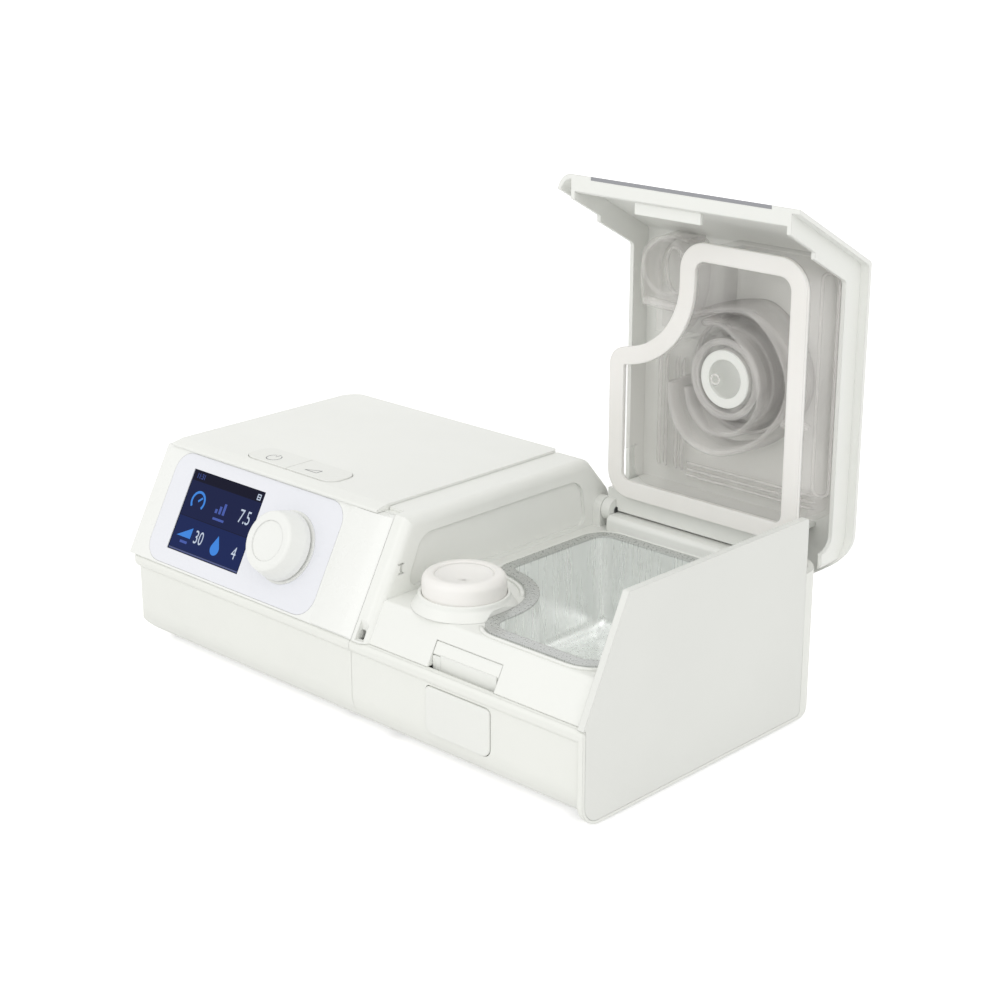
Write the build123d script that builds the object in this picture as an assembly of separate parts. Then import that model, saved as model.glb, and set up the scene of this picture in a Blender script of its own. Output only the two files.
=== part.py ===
from build123d import *
from math import sin, cos, tan, radians, pi
import os

# The model is drawn from the body's left front lower corner: X along the front, Y to the rear, Z up,
# all in millimetres. Each piece is moved to the part's own frame, centred on the floor, when it is saved.

# Body
body_width = 265.0
body_depth = 146.0
body_height = 85.2
foot_drop = 1.5
wall = 2.4
gap = 0.3
seat = 0.1

# Lip, front slope and base form
lip_height = 38.3
lip_band = 5.0
lip_overhang = 2.0
front_step = 1.2
left_draft = 2.1
slope_angle = radians(61.2)
base_front_radius = 15.0
end_front_radius = 9.0
base_rear_radius = 15.0
base_left_radius = 13.0
lip_front_radius = 7.0
corner_radius = 14.5
lip_rounding = 1.8

# A height clear above the whole machine, for cuts that go right through
above = 2 * body_height

# Where the modules meet along X
module_left = 1.0
base_seam = 143.0
bezel_right = base_seam + 1.0
liner_side = 8.0
bay_left = bezel_right + liner_side
cover_left = module_left + 3.9
cover_right = bezel_right - 8.8

# Blower module
cover_thickness = 2.4
cover_rear = body_depth - 15.0
rear_slant_drop = 18.2
rear_rounding = 8.0
bezel_thickness = 2.6
bezel_bulge = 1.0
liner_step = 1.0

# Faceplate, screen and knob, along the slope
faceplate_x = (module_left + 10.0, base_seam - 25.0)
faceplate_s = (1.5, 50.0)
faceplate_radius = 9.0
faceplate_thickness = 0.5
screen_x = (23.2, 70.1)
screen_s = (8.2, 43.9)
window_thickness = 2.3
lcd_border = 3.5
lcd_thickness = 2.6
board_thickness = 1.6
knob_x = 92.9
knob_s = 25.7
knob_radius = 14.5
knob_front_radius = 12.4
knob_lift = 1.4
knob_height = 10.2
knob_dish_radius = 8.5
knob_dish = 0.5
knob_edge = 1.6
knob_travel = 0.5
shaft_radius = 3.0
running_clearance = 0.05
bushing_radius = 4.6
encoder_size = 13.0
encoder_depth = 6.6

# Keys on the top cover
key_bar_x = (44.0, 100.0)
key_bar_y = (31.0, 46.0)
key_bar_radius = 6.0
key_rise = 0.6
key_flange = 1.2
key_travel = 0.5

# Blower
blower_x = 62.0
blower_y = 84.0
volute_radius = 40.0
volute_wall = 2.2
volute_bottom = 20.0
volute_split = 38.0
volute_top = 58.0
duct_radius = 11.0
duct_wall = 1.6
duct_height = 34.0
duct_bend = 13.0
impeller_radius = 32.0
impeller_blades = 11
motor_radius = 22.0
motor_bottom = 7.0
motor_shaft_radius = 2.0
grommet_radius = 4.2
grommet_neck = 3.2
mount_circle = volute_radius + grommet_radius + gap
intake_bore = 15.0

# Air intake at the rear
filter_x = (39.0, 85.0)
filter_z = (41.0, 65.0)
filter_depth = 3.6
intake_height = volute_top + 2.0

# Humidifier bay
strip_recess = 2.4
deck_top = 54.2
deck_rear = body_depth - 13.0
panel_thickness = 3.0
bay_right = body_width - panel_thickness - 0.2
panel_rim = 1.5
panel_rear = body_depth - 14.8
panel_top = body_height - 0.2
panel_slope_y = (panel_top - lip_height) / tan(slope_angle) - 2.07
rear_wall_top = deck_top + 7.8
connector_x = bay_left + 25.0
connector_y = 30.0
collar_radius = 20.8
seal_radius = 16.5
seal_mouth = 11.5
seal_top = deck_top + 13.3

# Water tank, seen from above
tank_left = bay_left + 8.0
tank_notch_x = connector_x + 18.6
tank_right = body_width - 6.0
tank_front = 14.5
tank_rear = body_depth - 16.0
tank_notch_rear = connector_y + 27.0
tank_notch_left = tank_notch_rear + 8.1
tank_flange = 5.0
tank_wall = 0.8
tank_bottom = 12.0
tank_clearance = 0.6

# Latch and release button
latch_width = 34.7
latch_x = (bay_left + 32.0, bay_left + 32.0 + latch_width)
latch_z = (lip_height - 0.3, lip_height + 9.7)
latch_bar_z = (lip_height + 4.5, latch_z[1] - 0.3)
button_x = (latch_x[0] + 1.0, latch_x[1] - 0.2)
button_z = (12.5, 32.0)
button_proud = 0.8

# Lid, drawn closed and saved open
hinge_y = body_depth - 7.6
hinge_z = deck_top + 7.5
hinge_radius = 5.0
pin_radius = 1.5
lid_left = bay_left - 6.0
lid_top = body_height + 2.0
lid_proud = 6.6
lid_roll_radius = 8.0
lid_roll_clearance = 0.6
lid_plate = 1.7
lid_rear_radius = 17.0
lid_foot = lip_height + 0.4
lid_rear_foot = hinge_z + 8.1
lid_skirt = 11.0
lid_tip_depth = 5.9
inlay_x = (lid_left + 18.0, body_width - 13.0)
inlay_thickness = 1.3
gasket_foot = deck_top + 1.5
gasket_thickness = 1.6
gasket_band = 7.5
port_x = tank_notch_x + 16.4
port_y = tank_notch_rear + 15.0
port_radius = 11.0
port_rise = 3.0

os.makedirs("parts", exist_ok=True)


def save(name, shape):
    """Write one piece, moved so that the origin is the middle of the footprint on the floor."""
    placed = Pos(-body_width / 2, -body_depth / 2, foot_drop) * shape
    placed.label = name
    export_step(placed, f"parts/{name}.step")


def block(x, y, z):
    """A box between two values on each axis."""
    middle = Pos((x[0] + x[1]) / 2, (y[0] + y[1]) / 2, (z[0] + z[1]) / 2)
    return middle * Box(x[1] - x[0], y[1] - y[0], z[1] - z[0])


def outline(points, radii):
    """A closed flat face with straight sides and rounded corners."""
    return make_face(FilletPolyline(*points, radius=radii, close=True))


def side_prism(points, radii, x):
    """An outline in Y and Z, drawn out from one X to another."""
    return extrude(Plane.YZ.offset(x[0]) * outline(points, radii), x[1] - x[0])


def front_prism(points, radii, y):
    """An outline in X and Z, drawn out from one Y to another."""
    return extrude(Plane.XZ.offset(-y[1]) * outline(points, radii), y[1] - y[0])


def plan_prism(points, radii, z):
    """An outline in X and Y, drawn out from one Z to another."""
    return extrude(Plane.XY.offset(z[0]) * outline(points, radii), z[1] - z[0])


def rod(radius, start, end):
    """A round bar between two points."""
    along = Vector(*end) - Vector(*start)
    place = Plane(origin=start, z_dir=along)
    return place * Cylinder(radius, along.length, align=(Align.CENTER, Align.CENTER, Align.MIN))


def upright(radius, x, y, z):
    """A round bar along Z."""
    return rod(radius, (x, y, z[0]), (x, y, z[1]))


def tube(radius, bore, x, y, z):
    """A round tube along Z."""
    return upright(radius, x, y, z) - upright(bore, x, y, (z[0] - 1, z[1] + 1))


def rounded_plate(x, y, z, radius):
    """A flat plate with rounded corners."""
    face = RectangleRounded(x[1] - x[0], y[1] - y[0], radius)
    return Pos((x[0] + x[1]) / 2, (y[0] + y[1]) / 2, z[0]) * extrude(face, z[1] - z[0])


def slope_y(z, out=0.0):
    """Y of the front slope at a height, or of a plane that stands out from it."""
    return (z - lip_height) / tan(slope_angle) - out / sin(slope_angle)


def group(shapes):
    """Several pieces of one kind in one node."""
    return Compound(children=list(shapes))


slope = Plane(
    origin=(0, 0, lip_height),
    x_dir=(1, 0, 0),
    z_dir=(0, -sin(slope_angle), cos(slope_angle)),
)


def slope_plate(x, s, h, radius=0.0):
    """A plate on the slope: X, distance up the slope from the lip, height out of the slope."""
    width, rise = x[1] - x[0], s[1] - s[0]
    face = RectangleRounded(width, rise, radius) if radius else Rectangle(width, rise)
    middle = Pos((x[0] + x[1]) / 2, (s[0] + s[1]) / 2)
    return extrude(slope.offset(h[0]) * (middle * face), h[1] - h[0])


def slope_rod(radius, x, s, h):
    """A round bar square to the slope."""
    return extrude(slope.offset(h[0]) * (Pos(x, s) * Circle(radius)), h[1] - h[0])


def slope_point(x, s, h):
    """A place on the slope as X, Y and Z."""
    return (
        x,
        s * cos(slope_angle) - h * sin(slope_angle),
        lip_height + s * sin(slope_angle) + h * cos(slope_angle),
    )


# Base shells


def base_form(inset, top):
    """The base's outer form, or the same form moved in by a wall, up to a height."""
    low = inset
    side = side_prism(
        [
            (front_step + inset, top),
            (front_step + inset, low),
            (body_depth - inset, low),
            (body_depth - inset, top),
        ],
        [0, base_front_radius - inset, base_rear_radius - inset, 0],
        (0, body_width),
    )
    front = front_prism(
        [
            (lip_overhang + inset, top),
            (lip_overhang + left_draft + inset, low),
            (body_width - inset, low),
            (body_width - inset, top),
        ],
        [0, base_left_radius - inset, 0, 0],
        (0, body_depth),
    )
    plan = plan_prism(
        [
            (lip_overhang + inset, front_step + inset),
            (body_width - inset, front_step + inset),
            (body_width - inset, body_depth - inset),
            (lip_overhang + inset, body_depth - inset),
        ],
        [lip_front_radius - inset, 0, corner_radius - inset, corner_radius - inset],
        (0, top),
    )
    return side & front & plan


def end_outline(grow):
    """The end panel's outline in Y and Z, larger all round by a margin."""
    low = panel_rim - grow
    return (
        [
            (low, low),
            (panel_rear + grow, low),
            (panel_rear + grow, panel_top + grow),
            (panel_slope_y - grow, panel_top + grow),
            (slope_y(lip_height + gap) - grow, lip_height + gap),
            (low, lip_height + gap),
        ],
        [end_front_radius - low, 2.0, 1.2, 0.8, 0, 0],
    )


def screw(x, y, head, tip, head_radius=2.8, shank=1.5, slot=0.9):
    """A pan-head screw driven upwards: head height, tip height and a cross slot."""
    body = upright(head_radius, x, y, (head - 2.0, head)) + upright(shank, x, y, (head, tip))
    cross = block((x - 1.8, x + 1.8), (y - slot / 2, y + slot / 2), (head - 2.1, head - 1.1))
    cross += block((x - slot / 2, x + slot / 2), (y - 1.8, y + 1.8), (head - 2.1, head - 1.1))
    return body - cross


boss_radius = 3.8
screw_hole = 1.7
pilot_hole = 1.55
screw_recess = 3.2
screw_seat = 26.0
boss_top = lip_height - gap
screw_tip = 45.0
feet_at = [
    (22.0, 26.0),
    (22.0, body_depth - 26.0),
    (body_width - 22.0, 26.0),
    (body_width - 22.0, body_depth - 28.0),
]
foot_radius = 6.0
foot_recess = 0.8
blower_bosses = [
    (14.0, 15.0),
    (14.0, body_depth - 16.0),
    (base_seam - 13.0, 15.0),
    (base_seam - 13.0, body_depth - 15.0),
]
bay_bosses = [
    (bay_left + 5.5, 12.0),
    (body_width - 10.0, 9.8),
    (bay_left + 5.5, tank_rear - 1.5),
    (body_width - 11.5, body_depth - 12.0),
]

band = plan_prism(
    [(0, 0), (body_width, 0), (body_width, body_depth), (0, body_depth)],
    [lip_front_radius, 0, corner_radius, corner_radius],
    (lip_height - lip_band, lip_height),
)
band = fillet(band.edges().filter_by(Plane.XY), lip_rounding)
end_rim = side_prism(
    [(0, lip_height - lip_rounding), (0, 0), (panel_rear, 0), (panel_rear, lip_height - lip_rounding)],
    [0, end_front_radius + 0.5, 0, 0],
    (body_width - wall, body_width),
)
base = base_form(0, lip_height) + band + end_rim
base -= base_form(wall, lip_height + 1)
base -= side_prism(*end_outline(seat), (body_width - panel_thickness - seat, body_width + 1))

rear_wall = plan_prism(
    [
        (bay_left + gap, panel_rear),
        (body_width, panel_rear),
        (body_width, body_depth),
        (bay_left + gap, body_depth),
    ],
    [0, 0, corner_radius, 0],
    (lip_height - lip_band, rear_wall_top),
)
rear_wall -= plan_prism(
    [
        (bay_left, panel_rear - 1),
        (body_width - wall, panel_rear - 1),
        (body_width - wall, body_depth - wall),
        (bay_left, body_depth - wall),
    ],
    [0, 0, corner_radius - wall, 0],
    (0, rear_wall_top + 1),
)
base += rear_wall

for x, y in blower_bosses + bay_bosses:
    boss = upright(boss_radius, x, y, (wall / 2, boss_top)) & base_form(wall / 2, boss_top)
    base += boss
    base -= upright(screw_recess, x, y, (-1, screw_seat))
    base -= upright(screw_hole, x, y, (0, boss_top + 1))
for x, y in feet_at:
    base -= upright(foot_radius + seat, x, y, (-1, foot_recess))

# Openings in the base: release button, power inlet
base -= front_prism(
    [
        (button_x[0] - gap, button_z[0] - gap),
        (button_x[1] + gap, button_z[0] - gap),
        (button_x[1] + gap, button_z[1] + gap),
        (button_x[0] - gap, button_z[1] + gap),
    ],
    [4.0 + gap, 4.0 + gap, 2.0 + gap, 2.0 + gap],
    (-1, front_step + wall + 1),
)
inlet_x = base_seam - 27.0
inlet_z = 21.0
inlet_radius = 5.4
socket_radius = 3.3
base -= rod(inlet_radius + seat, (inlet_x, body_depth - 5, inlet_z), (inlet_x, body_depth + 1, inlet_z))

# Board standoffs, blower posts, spring wall and heater ring inside the base
board_x = (base_seam - 34.0, base_seam - 5.0)
board_y = (64.0, body_depth - 22.0)
board_z = 12.0
jack_board_x = (board_x[0], board_x[0] + 14.5)
jack_board_rear = body_depth - 5.0
standoff_inset = (4.0, 5.0)
standoffs = [
    (x, y)
    for x in (board_x[0] + standoff_inset[0], board_x[1] - standoff_inset[0])
    for y in (board_y[0] + standoff_inset[1], board_y[1] - standoff_inset[1])
]
board_hole = 1.0
mount_hole = 1.2
for x, y in standoffs:
    base += upright(3.0, x, y, (wall / 2, board_z))
    base -= upright(board_hole, x, y, (wall + 2, board_z + 1))
post_angles = [140, 220, 20]
post_spots = [
    (blower_x + mount_circle * cos(radians(angle)), blower_y + mount_circle * sin(radians(angle)))
    for angle in post_angles
]
post_top = 17.5
for x, y in post_spots:
    base += upright(4.0, x, y, (wall / 2, post_top))
    base -= upright(mount_hole, x, y, (wall + 2, post_top + 1))
spring_wall_y = (13.2, 15.2)
base += block((latch_x[0] + 4, latch_x[1] - 2.7), spring_wall_y, (wall / 2, lip_height - 8.3))

seam_gap = 0.1
blower_base = base & block((-1, base_seam - seam_gap / 2), (-5, body_depth + 5), (-5, above))
humidifier_base = base & block((base_seam + seam_gap / 2, body_width + 5), (-5, body_depth + 5), (-5, above))
save("blower_base", blower_base)
save("humidifier_base", humidifier_base)

panel = side_prism(*end_outline(0), (body_width - panel_thickness, body_width))
save("end_panel", panel)

save("rubber_feet", group(upright(foot_radius, x, y, (-foot_drop, foot_recess)) for x, y in feet_at))
save(
    "base_screws",
    group(screw(x, y, screw_seat, screw_tip) for x, y in blower_bosses + bay_bosses),
)

# Blower module's upper housing


def module_outline(inset, top, foot):
    """Side outline of the blower module: front slope, flat top and slanted, rounded rear edge."""
    ceiling = top - inset
    radius = max(rear_rounding - inset, 2.0)
    return (
        [
            (slope_y(foot, -inset), foot),
            (slope_y(ceiling, -inset), ceiling),
            (cover_rear - inset / 2, ceiling),
            (body_depth - inset, body_height - rear_slant_drop - inset / 2),
            (body_depth - inset, foot),
        ],
        [0, 0, radius, radius, 0],
    )


housing_top = body_height - cover_thickness
housing_plan = [
    (module_left, -5),
    (bezel_right - seat, -5),
    (bezel_right - seat, body_depth),
    (module_left, body_depth),
]
housing = side_prism(*module_outline(0, housing_top, lip_height), (module_left, bezel_right - seat))
housing &= plan_prism(housing_plan, [0, 0, 0, corner_radius], (0, above))
hollow = side_prism(
    *module_outline(wall, housing_top, lip_height - 1), (module_left + wall, bezel_right - seat - wall)
)
hollow_plan = [
    (module_left + wall, -5),
    (bezel_right - seat - wall, -5),
    (bezel_right - seat - wall, body_depth - wall),
    (module_left + wall, body_depth - wall),
]
hollow &= plan_prism(hollow_plan, [0, 0, 0, corner_radius - wall], (0, above))
housing -= hollow
housing -= slope_plate((-5, bezel_right + 5), (-5, body_height), (-bezel_thickness - seat, 10))
housing -= block(
    (module_left + 13, base_seam - 18),
    (28, cover_rear - 13),
    (housing_top - 5, housing_top + 1),
)
behind_bezel = side_prism(
    *module_outline(bezel_thickness + seat, housing_top, lip_height), (module_left + seat, bezel_right - 1)
)
for x, y in blower_bosses:
    housing += upright(boss_radius, x, y, (lip_height, screw_tip + 5)) & behind_bezel
    edge = bezel_right - seat - wall / 2 if x > blower_x else module_left + wall / 2
    housing += block(sorted((x, edge)), (y - 1.5, y + 1.5), (lip_height, screw_tip + 3))
    housing -= upright(pilot_hole, x, y, (lip_height - 1, screw_tip + 1))
# Way out for the air duct and the intake opening
duct_way = (connector_y - 9, connector_y + 30)
housing -= block((bezel_right - 6, bezel_right + 1), duct_way, (0, duct_height + duct_radius + 2))
housing -= block(
    (filter_x[0] - gap, filter_x[1] + gap),
    (body_depth - wall - 1, body_depth + 1),
    (filter_z[0] - gap, filter_z[1] + gap),
)
save("upper_housing", housing)

# Front bezel, faceplate, screen and control board
bezel_x = (module_left, bezel_right - seat)
bezel_s = (0.4, 52.2)
bezel_z = (lip_height + seat, housing_top - seat)
bezel = slope_plate(bezel_x, bezel_s, (-bezel_thickness, 0))
bulge_x = (faceplate_x[1] + 1.0, bezel_right - 0.8)
bulge_face = make_face(
    [
        ThreePointArc((bulge_x[0], 0), ((bulge_x[0] + bulge_x[1]) / 2, bezel_bulge), (bulge_x[1], 0)),
        Line((bulge_x[1], 0), (bulge_x[0], 0)),
    ]
)
bulge_foot = slope_point(0, bezel_s[0] + 0.4, 0)
bulge_plane = Plane(
    origin=bulge_foot, x_dir=(1, 0, 0), z_dir=(0, -cos(slope_angle), -sin(slope_angle))
)
bezel += extrude(bulge_plane * bulge_face, -(bezel_s[1] - bezel_s[0] - 1.4))
bezel &= block((0, body_width), (-10, body_depth), bezel_z)
bezel -= slope_plate(
    (faceplate_x[0] - seat, faceplate_x[1] + seat),
    (faceplate_s[0] - seat, faceplate_s[1] + seat),
    (-faceplate_thickness, 1),
    faceplate_radius + seat,
)
window_x = (screen_x[0] - seat, screen_x[1] + seat)
window_s = (screen_s[0] - seat, screen_s[1] + seat)
bezel -= slope_plate(window_x, window_s, (-5, 1))
bezel -= slope_rod(bushing_radius + seat, knob_x, knob_s, (-5, 1))
save("front_bezel", bezel)

faceplate = slope_plate(faceplate_x, faceplate_s, (-faceplate_thickness, 0), faceplate_radius)
faceplate -= slope_plate(window_x, window_s, (-5, 1))
faceplate -= slope_rod(bushing_radius + seat, knob_x, knob_s, (-5, 1))
save("faceplate", faceplate)
window = slope_plate(screen_x, screen_s, (-bezel_thickness, window_thickness - bezel_thickness))
save("display_window", window)

lcd_back = -bezel_thickness - lcd_thickness
lcd_x = (screen_x[0] - lcd_border, screen_x[1] + lcd_border)
lcd_s = (screen_s[0] - lcd_border, screen_s[1] + lcd_border)
save("lcd_module", slope_plate(lcd_x, lcd_s, (lcd_back, -bezel_thickness - seat)))

encoder_front = -bezel_thickness - seat
encoder_back = encoder_front - encoder_depth
board_front = encoder_back
control_board = slope_plate(
    (lcd_x[0], knob_x + encoder_size),
    (lcd_s[0] - 1, lcd_s[1] - 1),
    (board_front - board_thickness, board_front),
)
save("control_board", control_board)
lcd_spacers = group(
    slope_rod(1.5, x, s, (board_front, lcd_back))
    for x in (lcd_x[0] + 3, lcd_x[1] - 3)
    for s in (lcd_s[0] + 3, lcd_s[1] - 3)
)
save("lcd_spacers", lcd_spacers)

half = encoder_size / 2
encoder = slope_plate(
    (knob_x - half, knob_x + half), (knob_s - half, knob_s + half), (encoder_back, encoder_front)
)
encoder += slope_rod(bushing_radius, knob_x, knob_s, (encoder_front, 0.3))
encoder -= slope_rod(shaft_radius + running_clearance, knob_x, knob_s, (encoder_back + 2, 1))
plunger_radius = 4.0
encoder -= slope_rod(plunger_radius + gap, knob_x, knob_s, (encoder_back + 1, encoder_front - 1.2))
save("rotary_encoder", encoder)
plunger_top = encoder_back + 3.0
plunger_foot = encoder_back + 1 + knob_travel + seat
save("encoder_plunger", slope_rod(plunger_radius, knob_x, knob_s, (plunger_foot, plunger_top)))

knob_ring = slope_rod(knob_radius + 1.0, knob_x, knob_s, (0, 0.6)) - slope_rod(
    knob_radius - 2.0, knob_x, knob_s, (-1, 1)
)
save("knob_ring", knob_ring)
shaft_top = knob_lift + knob_height - 2.5
shaft = slope_rod(shaft_radius, knob_x, knob_s, (plunger_top + 0.05, shaft_top))
flat_depth = 1.0
flat = slope_plate(
    (knob_x + shaft_radius - flat_depth, knob_x + shaft_radius + 1),
    (knob_s - 5, knob_s + 5),
    (knob_lift, shaft_top + 1),
)
save("encoder_shaft", shaft - flat)

knob_face = outline(
    [(0, 0), (knob_radius, 0), (knob_radius, 3.0), (knob_front_radius, knob_height), (0, knob_height)],
    [0, 0.4, 1.0, knob_edge, 0],
)
knob = revolve(Plane.XZ * knob_face, Axis.Z)
knob -= Pos(0, 0, knob_height - knob_dish) * Cylinder(
    knob_dish_radius, 2, align=(Align.CENTER, Align.CENTER, Align.MIN)
)
knob_wall = 2.0
knob_roof = 3.2
standing = (Align.CENTER, Align.CENTER, Align.MIN)
knob_hollow = Cylinder(knob_front_radius - knob_wall, knob_height - knob_roof, align=standing)
knob_hub = Cylinder(shaft_radius + 1.8, knob_height - knob_roof, align=standing)
knob -= knob_hollow - knob_hub
knob_bore = Cylinder(shaft_radius, shaft_top - knob_lift, align=standing)
knob_bore -= Pos(shaft_radius, 0, knob_height / 2) * Box(2 * flat_depth, 10, knob_height)
knob -= knob_bore
knob = Pos(*slope_point(knob_x, knob_s, knob_lift)) * (Rot(X=slope_angle * 180 / pi) * knob)
save("knob", knob)

# Top cover and its two keys
cover_bottom = housing_top
cover = side_prism(
    [
        (slope_y(cover_bottom, 0.9), cover_bottom),
        (slope_y(cover_bottom + 1.3, 1.6), cover_bottom + 1.3),
        (slope_y(body_height) + 3.6, body_height),
        (cover_rear, body_height),
        (cover_rear, cover_bottom),
    ],
    [0.3, 0.8, 4.0, 1.2, 0],
    (cover_left, cover_right),
)
cover &= plan_prism(
    [(cover_left, 10), (cover_right, 10), (cover_right, cover_rear), (cover_left, cover_rear)],
    [0, 0, 5.0, 10.0],
    (0, above),
)
cover -= rounded_plate(
    (key_bar_x[0] - gap, key_bar_x[1] + gap),
    (key_bar_y[0] - gap, key_bar_y[1] + gap),
    (0, above),
    key_bar_radius + gap,
)
key_board_z = cover_bottom - 9.9
key_post_x = (key_bar_x[0] - 6.0, key_bar_x[1] + 6.0)
key_middle_y = (key_bar_y[0] + key_bar_y[1]) / 2
key_board_top = key_board_z + board_thickness
for x in key_post_x:
    cover += upright(2.5, x, key_middle_y, (key_board_top, cover_bottom))
    cover -= upright(1.0, x, key_middle_y, (key_board_top - 1, cover_bottom))
save("top_cover", cover)

key_bottom = cover_bottom - 1.2
key_split = (key_bar_x[0] + key_bar_x[1]) / 2
switch_height = 3.4
stem_bottom = key_board_top + switch_height + key_travel + 0.2
key_bar = rounded_plate(key_bar_x, key_bar_y, (key_bottom, body_height + key_rise), key_bar_radius)
key_bar = fillet(key_bar.edges().group_by(Axis.Z)[-1], 0.4)
key_bar += rounded_plate(
    (key_bar_x[0] - key_flange, key_bar_x[1] + key_flange),
    (key_bar_y[0] - key_flange, key_bar_y[1] + key_flange),
    (key_bottom, cover_bottom - 0.1),
    key_bar_radius + key_flange,
)
key_centres = {"start_stop_key": 57.0, "ramp_key": 87.0}
for name, x in key_centres.items():
    low, high = (0, key_split - gap / 2) if x < key_split else (key_split + gap / 2, body_width)
    key = key_bar & block((low, high), (0, body_depth), (0, above))
    key += upright(1.8, x, key_middle_y, (stem_bottom, key_bottom))
    save(name, key)
key_board = rounded_plate(
    (key_post_x[0] - 4, key_post_x[1] + 4),
    (key_middle_y - 6, key_middle_y + 6),
    (key_board_z, key_board_top),
    1.0,
)
save("key_board", key_board)
switches = []
for x in key_centres.values():
    switch_top = key_board_top + switch_height
    body = block((x - 3, x + 3), (key_middle_y - 3, key_middle_y + 3), (key_board_top, switch_top - 0.8))
    switches.append(body + upright(1.6, x, key_middle_y, (key_board_top, switch_top)))
save("key_switches", group(switches))
key_screws = [upright(1.9, x, key_middle_y, (key_board_z - 1.4, key_board_z)) for x in key_post_x]
save("key_board_screws", group(key_screws))

# Blower: spiral case in two halves, impeller, motor and rubber mounts
outlet_y = blower_y - volute_radius + duct_radius - 1.0
outlet_x = blower_x + volute_radius + 5.0


def volute_form(inset):
    """The blower case's outer form, or its inside, with the outlet spout along X."""
    drum = upright(volute_radius - inset, blower_x, blower_y, (volute_bottom + inset, volute_top - inset))
    spout_end = (outlet_x + inset, outlet_y, duct_height)
    return drum + rod(duct_radius - inset, (blower_x, outlet_y, duct_height), spout_end)


volute = volute_form(0) - volute_form(volute_wall)
volute -= upright(intake_bore, blower_x, blower_y, (volute_top - 5, volute_top + 1))
volute -= upright(motor_shaft_radius + 2.0, blower_x, blower_y, (volute_bottom - 1, volute_bottom + 5))
lug_bottom = volute_bottom + 2.0
lug_top = lug_bottom + 4.0
for x, y in post_spots:
    lug = upright(6.0, x, y, (lug_bottom, lug_top))
    reach = (Vector(blower_x, blower_y) - Vector(x, y)).normalized() * 7
    lug_middle = (lug_bottom + lug_top) / 2
    arm = rod(3.0, (x, y, lug_middle), (x + reach.X, y + reach.Y, lug_middle))
    lug += arm & block((x - 9, x + 9), (y - 9, y + 9), (lug_bottom, lug_top))
    volute += lug - volute_form(volute_wall / 2)
    volute -= upright(grommet_neck, x, y, (lug_bottom - 1, lug_top + 1))
save("blower_lower_case", volute & block((0, body_width), (0, body_depth), (0, volute_split - 0.05)))
save("blower_upper_case", volute & block((0, body_width), (0, body_depth), (volute_split + 0.05, above)))

grommet_top = lug_top + 2.4
mounts = []
mount_screws = []
for x, y in post_spots:
    grommet = upright(grommet_radius, x, y, (post_top, lug_bottom))
    grommet += upright(grommet_neck, x, y, (lug_bottom, lug_top))
    grommet += upright(grommet_radius, x, y, (lug_top, grommet_top))
    mounts.append(grommet - upright(mount_hole, x, y, (post_top - 1, grommet_top + 1)))
    mount_screw = upright(mount_hole, x, y, (post_top - 8, grommet_top))
    mount_screws.append(mount_screw + upright(3.0, x, y, (grommet_top, grommet_top + 1.8)))
save("blower_mounts", group(mounts))
save("blower_screws", group(mount_screws))

impeller_floor = volute_bottom + 10.0
impeller = upright(impeller_radius, blower_x, blower_y, (impeller_floor, impeller_floor + 2))
impeller += upright(8.0, blower_x, blower_y, (impeller_floor, impeller_floor + 12))
for i in range(impeller_blades):
    blade = Pos(20, 0, impeller_floor + 9) * Rot(Z=25) * Box(25, 1.4, 16)
    impeller += Pos(blower_x, blower_y, 0) * Rot(Z=i * 360 / impeller_blades) * blade
impeller -= upright(motor_shaft_radius, blower_x, blower_y, (0, impeller_floor + 10))
save("impeller", impeller)
shaft_z = (motor_bottom + 2.2, impeller_floor + 10)
save("motor_shaft", upright(motor_shaft_radius, blower_x, blower_y, shaft_z))
motor_top = volute_bottom - seat
stator_radius = motor_radius - 1.6
motor = upright(motor_radius, blower_x, blower_y, (motor_bottom, motor_top))
motor -= upright(stator_radius, blower_x, blower_y, (motor_bottom + 4.2, motor_top - 1.2))
bearing_radius = 5.0
motor -= upright(bearing_radius, blower_x, blower_y, (motor_bottom + 1.6, motor_top + 1))
save("motor_can", motor)
bearing_width = 2.4
bearings = [
    tube(bearing_radius, motor_shaft_radius + running_clearance, blower_x, blower_y, (z, z + bearing_width))
    for z in (motor_bottom + 1.7, motor_top - bearing_width - 0.1)
]
save("motor_bearings", group(bearings))
rotor_z = (motor_bottom + 4.6, motor_top - 3.0)
save("motor_rotor", tube(10.0, motor_shaft_radius, blower_x, blower_y, rotor_z))
stator = tube(stator_radius, 17.0, blower_x, blower_y, rotor_z)
for i in range(6):
    tooth = Pos(13.9, 0, (rotor_z[0] + rotor_z[1]) / 2) * Box(6.6, 4.5, rotor_z[1] - rotor_z[0])
    stator += Pos(blower_x, blower_y, 0) * Rot(Z=i * 60) * tooth
save("motor_stator", stator)

# Air duct from the blower to the connector
duct_route = FilletPolyline(
    (outlet_x + seat, outlet_y, duct_height),
    (outlet_x + 16, outlet_y, duct_height),
    (connector_x - 22, connector_y, duct_height),
    (connector_x, connector_y, duct_height),
    (connector_x, connector_y, deck_top - seat),
    radius=[duct_bend, duct_bend, duct_bend],
)
duct_start = Plane(origin=duct_route @ 0, z_dir=duct_route % 0)
duct = sweep(duct_start * Circle(duct_radius), path=duct_route)
duct -= sweep(duct_start * Circle(duct_radius - duct_wall), path=duct_route)
save("air_duct", duct)

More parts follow.
